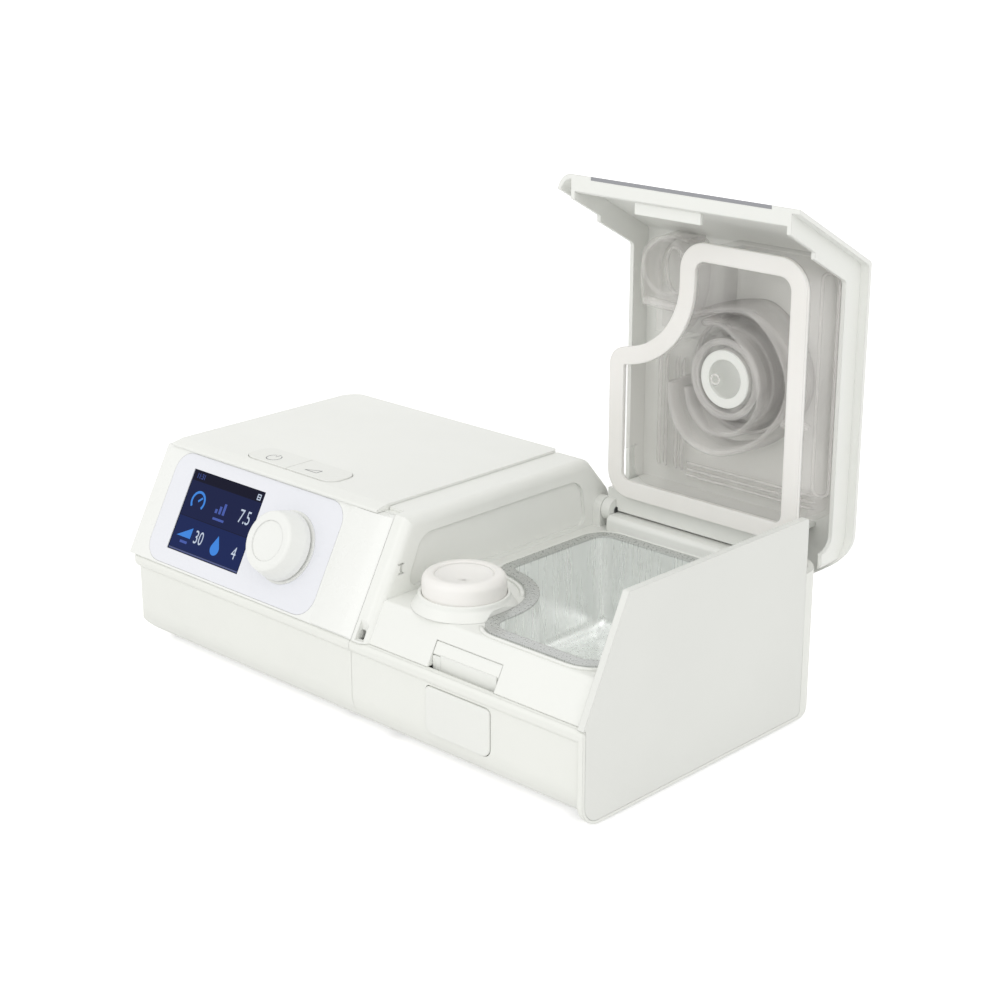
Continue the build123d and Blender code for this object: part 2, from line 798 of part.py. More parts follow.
# Intake: filter, its cover and the silencer box over the blower
filter_cover = block(filter_x, (body_depth - wall, body_depth), filter_z)
rim_front = body_depth - wall - filter_depth
rim_x = (filter_x[0] + 0.6, filter_x[1] - 0.6)
rim_z = (filter_z[0] + 0.6, filter_z[1] - 0.6)
filter_cover += block(rim_x, (rim_front, body_depth - wall), rim_z)
pad_x = (rim_x[0] + 1.4, rim_x[1] - 1.4)
pad_z = (rim_z[0] + 1.4, rim_z[1] - 1.4)
filter_cover -= block(pad_x, (rim_front - 1, body_depth - wall), pad_z)
slots = 9
slot_pitch = (pad_x[1] - pad_x[0]) / slots
for i in range(slots):
    x = pad_x[0] + (i + 0.5) * slot_pitch
    slot_y = (body_depth - wall - 1, body_depth + 1)
    filter_cover -= block((x - 1.1, x + 1.1), slot_y, (pad_z[0] + 1, pad_z[1] - 1))
save("filter_cover", filter_cover)
save("air_filter", block(pad_x, (rim_front + 0.1, body_depth - wall), pad_z))

intake_rear = rim_front - gap
box_x = (blower_x - 38.0, blower_x + 38.0)
box_front = 52.0
box_rear = cover_rear - 5.0
box_top = body_height - 7.2
box_wall = 2.0
throat_front = box_rear - 1.5
throat_x = (filter_x[0] - 1.0, filter_x[1] + 1.0)


def intake_form(inset):
    """The silencer box over the blower with its throat down to the filter, or the room inside."""
    chamber = block(
        (box_x[0] + inset, box_x[1] - inset),
        (box_front + inset, box_rear - inset),
        (intake_height + inset, box_top - inset),
    )
    throat = side_prism(
        [
            (throat_front - inset, filter_z[0] + inset),
            (intake_rear + inset, filter_z[0] + inset),
            (intake_rear + inset, filter_z[1] - 1.0),
            (cover_rear - 1.0, box_top - inset),
            (throat_front - inset, box_top - inset),
        ],
        0,
        (throat_x[0] + inset, throat_x[1] - inset),
    )
    return chamber + throat


silencer = intake_form(0) - intake_form(box_wall)
silencer -= upright(intake_bore, blower_x, blower_y, (intake_height - 1, intake_height + 4))
save("inlet_silencer", silencer)
foam_gap = 0.5
foam = block(
    (box_x[0] + box_wall + foam_gap, box_x[1] - box_wall - foam_gap),
    (box_front + box_wall + foam_gap, box_rear - 8.0),
    (box_top - 8, box_top - box_wall),
)
save("silencer_foam", foam)
save("inlet_seal", tube(intake_bore + 3.0, intake_bore, blower_x, blower_y, (volute_top, intake_height)))

# Main board and power inlet
board_top = board_z + board_thickness
main_board = block(board_x, board_y, (board_z, board_top))
main_board += block(jack_board_x, (board_y[1] - 1, jack_board_rear), (board_z, board_top))
for x, y in standoffs:
    main_board -= upright(board_hole, x, y, (board_z - 1, board_top + 1))
save("main_board", main_board)
save(
    "board_screws",
    group(
        upright(board_hole, x, y, (board_z - 6, board_top)) + upright(2.2, x, y, (board_top, board_top + 1.6))
        for x, y in standoffs
    ),
)
jack_y = (jack_board_rear - 9, body_depth - wall - seat)
jack = block((inlet_x - 6, inlet_x + 6), jack_y, (board_top, inlet_z + 6))
jack += rod(inlet_radius, (inlet_x, jack_board_rear, inlet_z), (inlet_x, body_depth, inlet_z))
jack -= rod(socket_radius, (inlet_x, body_depth - 10, inlet_z), (inlet_x, body_depth + 1, inlet_z))
save("power_inlet", jack)
part_x = board_x[0] + 9.0
part_y = board_y[0] + 12.0
power_parts = [
    block((part_x, part_x + 12), (part_y, part_y + 12), (board_top, board_top + 3)),
    block((part_x + 2, part_x + 10), (part_y + 22, part_y + 30), (board_top, board_top + 5)),
]
save("board_components", group(power_parts))

# Humidifier liner: side wall, recessed strip, deck and hinge ledge
liner_top = body_height - liner_step
liner_edge = 4.0
side_wall = side_prism(*module_outline(0, liner_top, lip_height + seat), (bezel_right + seat, bay_left))
side_wall = fillet(
    [
        e
        for e in side_wall.faces().sort_by(Axis.X)[-1].edges()
        if e.center().Z > lip_height + 10
    ],
    liner_edge,
)
side_wall -= side_prism(
    *module_outline(2.0, liner_top, lip_height - 1), (bezel_right + 2.1, bay_left - 3.8)
)
margin = block((cover_right + gap, bezel_right + 2), (30, cover_rear - 2), (housing_top, liner_top))
pocket_top = liner_top - 8.0
pocket_rear = cover_rear - 2.0
pocket = side_prism(
    [(23.0, deck_top + 1.5), (32.0, pocket_top), (pocket_rear - 3.0, pocket_top), (pocket_rear, deck_top + 1.5)],
    [4.0, 8.0, 8.0, 4.0],
    (bay_left - 1.6, bay_left + 5),
)
slot_x = (bay_left - 1.2, bay_left + 1)
slot_z = (deck_top + 8.3, deck_top + 12.8)
tab_slot = block(slot_x, (19.8, 21.0), slot_z)
tab_slot += block(slot_x, (18.9, 21.9), (slot_z[1] - 0.7, slot_z[1]))
tab_slot += block(slot_x, (18.9, 21.9), (slot_z[0], slot_z[0] + 0.7))
side_wall = side_wall + margin - pocket - tab_slot

crease_y = slope_y(deck_top, -strip_recess)
deck = side_prism(
    [
        (slope_y(lip_height + seat, -strip_recess), lip_height + seat),
        (crease_y, deck_top),
        (deck_rear, deck_top),
        (deck_rear, deck_top - wall),
        (slope_y(deck_top - wall, -strip_recess - wall), deck_top - wall),
        (slope_y(lip_height + seat, -strip_recess - wall), lip_height + seat),
    ],
    [0, 1.5, 0, 0, 1.0, 0],
    (bay_left - 1, bay_right),
)
ledge = side_prism(
    [
        (tank_rear + 1.5, deck_top - wall),
        (tank_rear + 1.5, hinge_z - 0.9),
        (hinge_y + 1.6, hinge_z - 0.9),
        (hinge_y + 1.6, deck_top - wall),
    ],
    [0, 2.4, 0.6, 0],
    (bay_left + 9.5, bay_right - 20.0),
)


def tank_outline(inset):
    """The water tank's outline from above, moved in by a distance."""
    face = outline(
        [
            (tank_notch_x, tank_front),
            (tank_notch_x, tank_notch_rear),
            (tank_left, tank_notch_left),
            (tank_left, tank_rear),
            (tank_right, tank_rear),
            (tank_right, tank_front),
        ],
        [13.0, 30.0, 9.0, 12.0, 12.0, 14.0],
    )
    return offset(face, amount=-inset) if inset else face


lug_left = (bay_left, bay_left + 4.2)
lug_right = (bay_right - 14.8, bay_right - 10.6)
lid_lug_left = (lug_left[1] + gap, lug_left[1] + 4.8)
lid_lug_right = (lug_right[0] - 4.8, lug_right[0] - gap)


def hinge_lug(x):
    """A standing ear of the liner around the hinge pin."""
    ear = rod(hinge_radius, (x[0], hinge_y, hinge_z), (x[1], hinge_y, hinge_z))
    return ear + block(x, (hinge_y - hinge_radius, hinge_y + hinge_radius), (deck_top - wall, hinge_z))


liner = side_wall + deck + ledge + hinge_lug(lug_left) + hinge_lug(lug_right)
liner += plan_prism(
    [
        (bay_left - 1, deck_rear - 5),
        (bay_right, deck_rear - 5),
        (bay_right, hinge_y + hinge_radius),
        (bay_left - 1, hinge_y + hinge_radius),
    ],
    [0, 0, hinge_radius + 6.4, 0],
    (deck_top - wall, deck_top),
)
liner -= extrude(Plane.XY.offset(deck_top - wall - 1) * tank_outline(tank_flange - tank_clearance), wall + 2)
liner -= upright(duct_radius + gap, connector_x, connector_y, (deck_top - wall - 1, deck_top + 1))
liner -= block(latch_x, (-5, 14), latch_z)
liner -= block((bezel_right + 2, bay_left - 2), (-5, 4.5), (lip_height + 0.9, lip_height + 13.0))
liner -= block((bezel_right - 1, bay_left), duct_way, (0, duct_height + duct_radius + 2))
for pin_x in ((lug_left[0] - 3, lug_left[1] + 1), (lug_right[0] - 1, lug_right[1] + 1)):
    liner -= rod(pin_radius, (pin_x[0], hinge_y, hinge_z), (pin_x[1], hinge_y, hinge_z))
for x, y in bay_bosses:
    top = deck_top - wall / 2 if y > 20 else lip_height + 14
    liner += upright(boss_radius, x, y, (lip_height, top)) & side_prism(
        *module_outline(strip_recess, deck_top, lip_height), (bay_left + gap, bay_right)
    )
    liner -= upright(pilot_hole, x, y, (lip_height - 1, screw_tip + 1))
save("humidifier_liner", liner)

collar_face = outline(
    [
        (seal_radius + 0.2, deck_top),
        (collar_radius, deck_top),
        (collar_radius - 2.6, deck_top + 3.6),
        (collar_radius - 2.9, deck_top + 5.6),
        (seal_radius + 0.2, deck_top + 5.6),
    ],
    [0, 0, 2.0, 0.6, 0.4],
)
collar = Pos(connector_x, connector_y, 0) * revolve(Plane.XZ * collar_face, Axis.Z)
collar -= extrude(Plane.XY.offset(deck_top - 1) * tank_outline(-gap), 4)
save("connector_collar", collar)
seal_face = outline(
    [
        (duct_radius - duct_wall, deck_top + seat),
        (seal_radius, deck_top + seat),
        (seal_radius, seal_top),
        (seal_mouth, seal_top),
        (seal_mouth, seal_top - 1.8),
        (seal_mouth + 2.8, seal_top - 3.8),
        (seal_mouth + 2.8, deck_top + 2.4),
        (duct_radius - duct_wall, deck_top + 2.4),
    ],
    [0, 0, 3.0, 0.8, 0.4, 0.8, 0.8, 0],
)
save("connector_seal", Pos(connector_x, connector_y, 0) * revolve(Plane.XZ * seal_face, Axis.Z))

# Water tank and heater under it
tank_lift = seat
tank = extrude(
    Plane.XY.offset(tank_bottom) * tank_outline(tank_flange - tank_wall / 2), deck_top + tank_lift + 0.5 - tank_bottom
)
tank = fillet(tank.edges().group_by(Axis.Z)[0], 8.0)
tank += extrude(Plane.XY.offset(deck_top + tank_lift) * tank_outline(0), 1.0)
tank_room = extrude(
    Plane.XY.offset(tank_bottom + tank_wall) * tank_outline(tank_flange + tank_wall / 2), deck_top - tank_bottom + 5
)
tank_room = fillet(tank_room.edges().group_by(Axis.Z)[0], 8.0 - tank_wall)
tank -= tank_room
save("water_tank", tank)

heater_x = (tank_notch_x + 10.4, tank_right - 11.0)
heater_y = (tank_front + 15.5, tank_rear - 12.0)
heater_top = tank_bottom - seat
save("heater_plate", rounded_plate(heater_x, heater_y, (heater_top - 2.4, heater_top), 10.0))
carrier_x = (heater_x[0] - 3, heater_x[1] + 3)
carrier_y = (heater_y[0] - 3, heater_y[1] + 3)
carrier = rounded_plate(carrier_x, carrier_y, (wall, heater_top - 2.4 - seat), 11.0)
carrier -= rounded_plate(
    (heater_x[0] + 1, heater_x[1] - 1), (heater_y[0] + 1, heater_y[1] - 1), (wall + 1.2, 20), 9.0
)
save("heater_carrier", carrier)
insulator_inset = 1.4
insulator = rounded_plate(
    (heater_x[0] + insulator_inset, heater_x[1] - insulator_inset),
    (heater_y[0] + insulator_inset, heater_y[1] - insulator_inset),
    (wall + 1.3, heater_top - 2.5),
    8.6,
)
save("heater_insulator", insulator)

# Release button, latch slider and its springs
button_front = front_step - button_proud
button_back = front_step + wall + gap
button_flange = 1.2
button = front_prism(
    [
        (button_x[0], button_z[0]),
        (button_x[1], button_z[0]),
        (button_x[1], button_z[1]),
        (button_x[0], button_z[1]),
    ],
    [4.0, 4.0, 2.0, 2.0],
    (button_front, button_back + button_flange),
)
button = fillet(button.edges().group_by(Axis.Y)[0], 0.7)
button += block(
    (button_x[0] - 2.4, button_x[1] + 2.4),
    (button_back, button_back + button_flange),
    (button_z[0] + 1, button_z[1] + 2.4),
)
save("release_button", button)
slider_x = (latch_x[0] + 4.5, latch_x[1] - 1.0)
slider_y = (button_back + button_flange + seat / 2, button_back + 3.2)
catch_end = slope_y(latch_bar_z[0], -strip_recess - 0.2) - gap
stem_y = (catch_end + gap, catch_end + gap + 1.9)
stem_foot = lip_height - 5.0
slider = block(slider_x, slider_y, (button_z[0] + 1.5, stem_foot + 2.0))
slider += block(slider_x, (slider_y[0], stem_y[1]), (stem_foot, stem_foot + 2.0))
slider += block(slider_x, stem_y, (stem_foot, latch_bar_z[0] + 0.8))
bar_face_out = -strip_recess - 0.2
slider += side_prism(
    [
        (slope_y(latch_bar_z[0], bar_face_out), latch_bar_z[0]),
        (slope_y(latch_bar_z[1], bar_face_out), latch_bar_z[1]),
        (slope_y(latch_bar_z[1], bar_face_out) + 3.4, latch_bar_z[1]),
        (slope_y(latch_bar_z[0], bar_face_out) + 3.4, latch_bar_z[0]),
    ],
    [0.6, 0.6, 0, 0],
    (latch_x[0] + gap, latch_x[1] - gap),
)
save("latch_slider", slider)
spring_radius = 2.4
wire = 0.3
touch = 0.02
spring_start = slider_y[1] + wire + touch
spring_length = spring_wall_y[0] - wire - touch - spring_start
springs = []
for x in (latch_x[0] + 11.0, latch_x[1] - 9.7):
    coil = Helix(pitch=spring_length / 4, height=spring_length, radius=spring_radius)
    start = Plane(origin=coil @ 0, z_dir=coil % 0)
    turns = sweep(start * Circle(wire), path=coil)
    springs.append(Pos(x, spring_start, 22) * Rot(X=-90) * turns)
save("latch_springs", group(springs))

# Lid, drawn closed and turned open about its hinge


def lid_outline(inset, foot=lid_foot):
    """Side outline of the closed lid's outer face, moved in by a distance."""
    crown = lid_top - inset
    out = lid_proud - inset
    return (
        [
            (slope_y(foot, out), foot),
            (slope_y(crown, out), crown),
            (body_depth - inset, crown),
            (body_depth - inset, lid_rear_foot),
            (body_depth - 36.0, lid_rear_foot),
            (body_depth - 36.0, foot),
        ],
        [0, 2.0, lid_rear_radius - inset, 0, 0, 0],
    )


def lid_plan(inset, z=(0, above)):
    """The closed lid from above, with rounded rear corners."""
    return plan_prism(
        [
            (lid_left + inset, -20),
            (body_width - inset, -20),
            (body_width - inset, body_depth - inset),
            (lid_left + inset, body_depth - inset),
        ],
        [0, 0, corner_radius - inset, 8.0 - inset],
        z,
    )


def opened(shape):
    """Turn a closed lid piece back by a quarter turn about the hinge."""
    return Pos(0, hinge_y, hinge_z) * (Rot(X=-90) * (Pos(0, -hinge_y, -hinge_z) * shape))


lid_x = (lid_left, body_width)
lid_body = side_prism(*lid_outline(0), lid_x) & lid_plan(0)
lid_room = side_prism(*lid_outline(lid_plate, lid_foot - 5), (lid_left - 1, body_width + 1))


def slope_roll(inset):
    """Everything inside the lid's rolled left edge, drawn out along the slope."""
    left = lid_left + inset
    crest = lid_proud - inset
    face = outline(
        [(left, -above), (left, crest), (body_width + 1, crest), (body_width + 1, -above)],
        [0, lid_roll_radius - inset, 0, 0],
    )
    along = Plane(origin=slope_point(0, -above, 0), x_dir=(1, 0, 0), z_dir=(0, -cos(slope_angle), -sin(slope_angle)))
    return extrude(along * face, -2 * above)


under_roll = slope_plate(
    (lid_left - 1, lid_left + lid_plate + 0.6), (-above, above), (-above, lid_roll_clearance)
)
shell_skin = (lid_body & slope_roll(0)) - (lid_room & slope_roll(lid_plate)) - (lid_room & under_roll)
skirt_left = (bay_left + 1.5, bay_left + 3.5)
skirt_right = (bay_right - 2.5, bay_right - 0.6)
above_strip = side_prism(
    [
        (slope_y(lid_foot, 20), lid_foot),
        (slope_y(above, 20), above),
        (body_depth + 50, above),
        (body_depth + 50, deck_top + 0.6),
        (slope_y(deck_top + 0.6, -strip_recess + gap), deck_top + 0.6),
        (slope_y(lid_foot, -strip_recess + gap), lid_foot),
    ],
    [0, 0, 0, 0, 0, 0],
    lid_x,
)


def lid_band(depth, x):
    """A strip that follows the lid's outer face down to a depth, clear of the strip and the deck."""
    ring = side_prism(*lid_outline(lid_plate / 2), x)
    ring -= side_prism(*lid_outline(depth, lid_foot - 30), (x[0] - 1, x[1] + 1))
    return ring & above_strip & lid_plan(lid_plate / 2)


shell = shell_skin + lid_band(lid_skirt, skirt_left) + lid_band(lid_skirt, skirt_right)
tip = side_prism(
    [
        (slope_y(lid_foot, lid_proud - 0.8), lid_foot),
        (slope_y(lid_foot, lid_proud - lid_tip_depth), lid_foot),
        (slope_y(lid_foot + 1.8, lid_proud - lid_tip_depth), lid_foot + 1.8),
        (slope_y(lid_foot + 3.2, lid_proud - 0.8), lid_foot + 3.2),
    ],
    [0, 0, 0, 0],
    (skirt_left[0], skirt_right[1]),
)
shell += tip
rib_y = (hinge_y - 9.5, hinge_y - 7.7)
flange_z = (hinge_z - 0.3, hinge_z + 1.7)
hinge_span = (lid_lug_left[0], lid_lug_right[1])
shell += block(hinge_span, rib_y, (flange_z[0], lid_top - lid_plate / 2))
shell += block(hinge_span, (rib_y[0], hinge_y), flange_z)
for x in (lid_lug_left, lid_lug_right):
    shell += rod(hinge_radius, (x[0], hinge_y, hinge_z), (x[1], hinge_y, hinge_z))
    shell -= rod(pin_radius + running_clearance, (x[0] - 1, hinge_y, hinge_z), (x[1] + 1, hinge_y, hinge_z))
inlay_s = (2.6, 47.0)
inlay_h = (lid_proud - inlay_thickness, lid_proud)
inlay_cut_h = (lid_proud - inlay_thickness, lid_proud + 5)
inlay_foot = block((lid_left, body_width), (-40, body_depth), (lid_foot, above))
shell -= slope_plate((inlay_x[0] - seat, inlay_x[1] + seat), (-12, inlay_s[1] + seat), inlay_cut_h, 6.0)
inlay = slope_plate(inlay_x, (-12, inlay_s[1]), inlay_h, 6.0) & inlay_foot
port_hole = port_radius + 3.0
shell -= upright(port_hole + seat, port_x, port_y, (lid_top - 10, lid_top + 10))
save("lid_shell", opened(shell))
save("lid_inlay", opened(inlay))

# Clear inner moulding with the sealing band, the inlet ring and the outlet port
roof = 1.4
moulding_gap = 0.3
moulding_wall = 2.2
moulding_foot = gasket_foot + gasket_thickness
inner_limit = side_prism(*lid_outline(lid_plate + moulding_gap, lid_foot - 10), lid_x)
cup_limit = side_prism(*lid_outline(lid_plate + moulding_gap + roof, lid_foot - 10), lid_x)
moulding_clear = block(
    (skirt_left[1] + gap, skirt_right[0] - gap), (0, rib_y[0] - gap), (moulding_foot, lid_top)
)


def tank_prism(inset, z):
    """A prism of the tank's outline between two heights."""
    return extrude(Plane.XY.offset(z[0]) * tank_outline(inset), z[1] - z[0])


chamber_inset = 3.4
cup = tank_prism(chamber_inset, (moulding_foot, lid_top)) & inner_limit & moulding_clear
cup -= tank_prism(chamber_inset + moulding_wall, (0, lid_top)) & cup_limit
foot_ring = tank_prism(1.2, (moulding_foot, moulding_foot + 1.2)) - tank_prism(gasket_band, (0, lid_top))
cup += foot_ring & moulding_clear
ring_z = (seal_top + 0.4, lid_top)
inlet_ring = upright(12.6, connector_x + 2, connector_y + 1, ring_z)
inlet_room = upright(10.4, connector_x + 2, connector_y + 1, (0, lid_top))
link_wall = 2.0
link_x = (connector_x - 6, tank_notch_x + 10.4)
link_y = (connector_y - 6, connector_y + 30)
link_foot = seal_top + 5.0
link = block(link_x, link_y, (link_foot, lid_top)) & inner_limit
link_room = block(
    (link_x[0] + link_wall, link_x[1] - link_wall),
    (link_y[0] + link_wall, link_y[1] - link_wall),
    (link_foot + link_wall, lid_top),
)
link_room &= cup_limit
cup += inlet_ring & inner_limit & moulding_clear
cup += link & moulding_clear
cup -= link_room
cup -= inlet_room & cup_limit
port_foot = lid_top - 20.2
cup += upright(port_hole - seat, port_x, port_y, (port_foot - 1.0, lid_top - 2)) & inner_limit
cup += tube(21.0, 19.4, port_x, port_y, (port_foot + 5.0, lid_top)) & inner_limit
cup -= upright(port_hole - 1.9, port_x, port_y, (gasket_foot, lid_top))
save("lid_inner", opened(cup))

gasket = tank_prism(1.0, (gasket_foot, moulding_foot)) - tank_prism(1.0 + gasket_band, (0, lid_top))
save("lid_gasket", opened(gasket))

port_outer = port_hole - 2.0
port = tube(port_outer, port_radius, port_x, port_y, (port_foot, lid_top + port_rise))
port += tube(port_hole + 2.2, port_radius, port_x, port_y, (lid_top + 0.1, lid_top + 1.5))
port += tube(port_outer, 8.0, port_x, port_y, (port_foot, port_foot + 2.0))
save("outlet_port", opened(port))
catch_x = (latch_x[0] + 1.0, latch_x[1] - 1.0)
catch_thickness = 1.7
catch_top = latch_bar_z[0] - gap
catch_foot = catch_top - catch_thickness
catch = side_prism(
    [
        (slope_y(catch_foot, lid_proud - lid_plate), catch_foot),
        (catch_end, catch_foot),
        (catch_end, catch_top - 0.3),
        (slope_y(catch_top, lid_proud - lid_plate), catch_top),
    ],
    [0, 0, 0.4, 0],
    catch_x,
)
catch -= tip
save("lid_catch", opened(catch))
pins = [
    rod(pin_radius, (x[0], hinge_y, hinge_z), (x[1], hinge_y, hinge_z))
    for x in ((lug_left[0] - 2.5, lid_lug_left[1]), (lid_lug_right[0], lug_right[1]))
]
save("hinge_pins", group(pins))
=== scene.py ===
import bpy
import bmesh
import math
from mathutils import Matrix, Vector


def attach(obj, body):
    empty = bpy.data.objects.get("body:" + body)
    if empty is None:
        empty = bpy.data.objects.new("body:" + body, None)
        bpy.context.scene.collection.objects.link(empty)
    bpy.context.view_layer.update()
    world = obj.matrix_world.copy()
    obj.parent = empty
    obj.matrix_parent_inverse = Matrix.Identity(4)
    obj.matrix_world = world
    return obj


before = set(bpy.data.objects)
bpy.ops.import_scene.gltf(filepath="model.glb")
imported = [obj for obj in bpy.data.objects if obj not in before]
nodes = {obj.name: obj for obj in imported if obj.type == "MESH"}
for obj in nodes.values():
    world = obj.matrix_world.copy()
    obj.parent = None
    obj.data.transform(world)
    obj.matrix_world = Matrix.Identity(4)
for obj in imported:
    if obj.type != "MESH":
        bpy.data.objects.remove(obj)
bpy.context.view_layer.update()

# Places are written in millimetres from the body's left front lower corner, as the model is drawn
HALF_WIDTH = 132.5
HALF_DEPTH = 73.0
FOOT_DROP = 1.5
MM = 0.001
SLOPE = math.radians(61.2)
LIP_HEIGHT = 38.3
HINGE_Y = 138.4
HINGE_Z = 61.7


def place(x, y, z):
    """A point in the part's frame, in metres."""
    return Vector(((x - HALF_WIDTH) * MM, (y - HALF_DEPTH) * MM, (z + FOOT_DROP) * MM))


def on_slope(x, s, h):
    """A point at a distance up the front slope and a height out of it."""
    y = s * math.cos(SLOPE) - h * math.sin(SLOPE)
    return place(x, y, LIP_HEIGHT + s * math.sin(SLOPE) + h * math.cos(SLOPE))


def opened(x, y, z):
    """A point of the closed lid, turned back by a quarter turn about the hinge."""
    return place(x, HINGE_Y + (z - HINGE_Z), HINGE_Z - (y - HINGE_Y))


# Materials


def linear(colour):
    """Display values from 0 to 255 as linear ones, by the sRGB curve."""
    shares = [c / 255 for c in colour]
    return tuple(c / 12.92 if c <= 0.04045 else ((c + 0.055) / 1.055) ** 2.4 for c in shares)


def shaded(colour, share):
    """A colour scaled by one factor."""
    return [c * share for c in colour]


class Look:
    """A node material: a shader with its constants, and helpers that add surface detail."""

    def __init__(self, name, **constants):
        self.material = bpy.data.materials.new(name)
        self.material.use_nodes = True
        self.tree = self.material.node_tree
        self.shader = self.tree.nodes["Principled BSDF"]
        for socket, value in constants.items():
            self.shader.inputs[socket.replace("_", " ")].default_value = value
        self.coordinates = self.add("ShaderNodeTexCoord").outputs["Object"]
        self.normal = None

    def add(self, kind, **values):
        node = self.tree.nodes.new(kind)
        for key, value in values.items():
            setattr(node, key, value)
        return node

    def link(self, a, b):
        self.tree.links.new(a, b)

    def noise(self, scale, detail=3.0, stretch=None, rough=0.5):
        node = self.add("ShaderNodeTexNoise")
        node.inputs["Scale"].default_value = scale
        node.inputs["Detail"].default_value = detail
        node.inputs["Roughness"].default_value = rough
        source = self.coordinates
        if stretch:
            mapping = self.add("ShaderNodeMapping")
            mapping.inputs["Scale"].default_value = stretch
            self.link(source, mapping.inputs["Vector"])
            source = mapping.outputs["Vector"]
        self.link(source, node.inputs["Vector"])
        return node.outputs["Fac"]

    def spread(self, value, low, high, from_low=0.3, from_high=0.7):
        node = self.add("ShaderNodeMapRange")
        node.inputs["From Min"].default_value = from_low
        node.inputs["From Max"].default_value = from_high
        node.inputs["To Min"].default_value = low
        node.inputs["To Max"].default_value = high
        self.link(value, node.inputs["Value"])
        return node.outputs["Result"]

    def tint(self, value, dark, light):
        node = self.add("ShaderNodeMix", data_type="RGBA")
        self.link(value, node.inputs["Factor"])
        colours = [socket for socket in node.inputs if socket.type == "RGBA"]
        colours[0].default_value = (*dark, 1)
        colours[1].default_value = (*light, 1)
        mixed = [socket for socket in node.outputs if socket.type == "RGBA"][0]
        self.link(mixed, self.shader.inputs["Base Color"])

    def rough(self, value):
        self.link(value, self.shader.inputs["Roughness"])

    def round_edges(self, radius):
        node = self.add("ShaderNodeBevel", samples=6)
        node.inputs["Radius"].default_value = radius * MM
        self.normal = node.outputs["Normal"]
        self.link(self.normal, self.shader.inputs["Normal"])

    def bump(self, value, depth):
        node = self.add("ShaderNodeBump")
        node.inputs["Strength"].default_value = 1.0
        node.inputs["Distance"].default_value = depth * MM
        self.link(value, node.inputs["Height"])
        if self.normal:
            self.link(self.normal, node.inputs["Normal"])
        self.normal = node.outputs["Normal"]
        self.link(self.normal, self.shader.inputs["Normal"])


# Noise scales count waves in a metre
FLOW_SCALE = 14.0
GLOSS_SCALE = 90.0
GRAIN_SCALE = 2600.0
FLOW_SHADE = 0.975


def moulded(name, colour, rough, grain, edge, coat=0.0, grain_scale=GRAIN_SCALE):
    """Moulded plastic: fine spark grain, faint flow variation in tone, soft edges."""
    look = Look(name, IOR=1.5, Coat_Weight=coat)
    base = linear(colour)
    look.tint(look.spread(look.noise(FLOW_SCALE, 2.0), 0.0, 1.0), shaded(base, FLOW_SHADE), base)
    look.rough(look.spread(look.noise(GLOSS_SCALE), *rough))
    if edge:
        look.round_edges(edge)
    if grain:
        look.bump(look.noise(grain_scale, 2.0), grain)
    return look.material


shell_white = moulded("shell_white", (238, 239, 235), (0.34, 0.42), 0.006, 0.5)
base_white = moulded("base_white", (236, 237, 232), (0.44, 0.54), 0.012, 0.5)
bezel_white = moulded("bezel_white", (240, 241, 238), (0.24, 0.32), 0.003, 0.4, coat=0.2)
faceplate_white = moulded("faceplate_white", (233, 234, 240), (0.3, 0.4), 0.004, 0.2)
key_white = moulded("key_white", (235, 236, 232), (0.42, 0.5), 0.01, 0.3)
knob_white = moulded("knob_white", (238, 239, 236), (0.32, 0.4), 0.006, 0.6)
panel_white = moulded("panel_white", (228, 229, 225), (0.42, 0.5), 0.008, 0.4)
inner_dark = moulded("inner_plastic", (62, 64, 66), (0.5, 0.6), 0.01, 0.3)
blower_grey = moulded("blower_plastic", (190, 192, 194), (0.4, 0.5), 0.008, 0.4)
duct_white = moulded("duct_white", (240, 238, 234), (0.4, 0.5), 0.008, 0.4)
black_plastic = moulded("black_plastic", (18, 18, 19), (0.4, 0.55), 0.008, 0.2)
inlay_grey = moulded("inlay_grey", (150, 151, 156), (0.3, 0.38), 0.004, 0.2)
rubber_grey = moulded("rubber_grey", (70, 71, 73), (0.7, 0.85), 0.02, 0.5, grain_scale=1500.0)
board_green = moulded("circuit_board", (22, 92, 58), (0.35, 0.5), 0.01, 0.1)
magnet_dark = moulded("magnet", (60, 60, 62), (0.45, 0.6), 0.02, 0.2)


def metal(name, colour, rough, stretch, streak, edge, scale=60.0):
    """Bare metal with fine drawn lines along one direction."""
    look = Look(name, Metallic=1.0)
    base = linear(colour)
    drawn = look.noise(scale, 4.0, stretch, 0.6)
    look.tint(look.spread(drawn, 0.0, 1.0), shaded(base, 0.9), base)
    look.rough(look.spread(drawn, *rough))
    if edge:
        look.round_edges(edge)
    look.bump(drawn, streak)
    return look.material


# The tank is satin steel. Its colour darkens between these heights, in metres. This is painted shade that
# makes the flat rim darker than the walls, which are the same steel
RIM_LOW = 0.0560
RIM_HIGH = 0.0565
WALL_STEEL = (247, 249, 247)
RIM_SHADED_STEEL = (196, 198, 196)
tank_look = Look("steel", Metallic=0.62)
drawn = tank_look.noise(90.0, 4.0, (14.0, 14.0, 0.3), 0.6)
tank_split = tank_look.add("ShaderNodeSeparateXYZ")
tank_look.link(tank_look.coordinates, tank_split.inputs[0])
# Painted shade: above these heights the rim gets a darker copy of the wall steel
rim_shade_mask = tank_look.spread(tank_split.outputs["Z"], 0.0, 1.0, RIM_LOW, RIM_HIGH)
tank_look.tint(rim_shade_mask, linear(WALL_STEEL), linear(RIM_SHADED_STEEL))
tank_look.rough(tank_look.spread(drawn, 0.27, 0.285))
tank_look.round_edges(0.6)
tank_steel = tank_look.material
screw_steel = metal("screw_steel", (176, 177, 180), (0.3, 0.42), (1.0, 1.0, 6.0), 0.008, 0.2)
heater_metal = metal("heater_metal", (190, 192, 194), (0.34, 0.46), (9.0, 1.0, 1.0), 0.01, 0.3)
copper = metal("copper", (196, 122, 78), (0.3, 0.45), (1.0, 1.0, 30.0), 0.03, 0.0, 120.0)


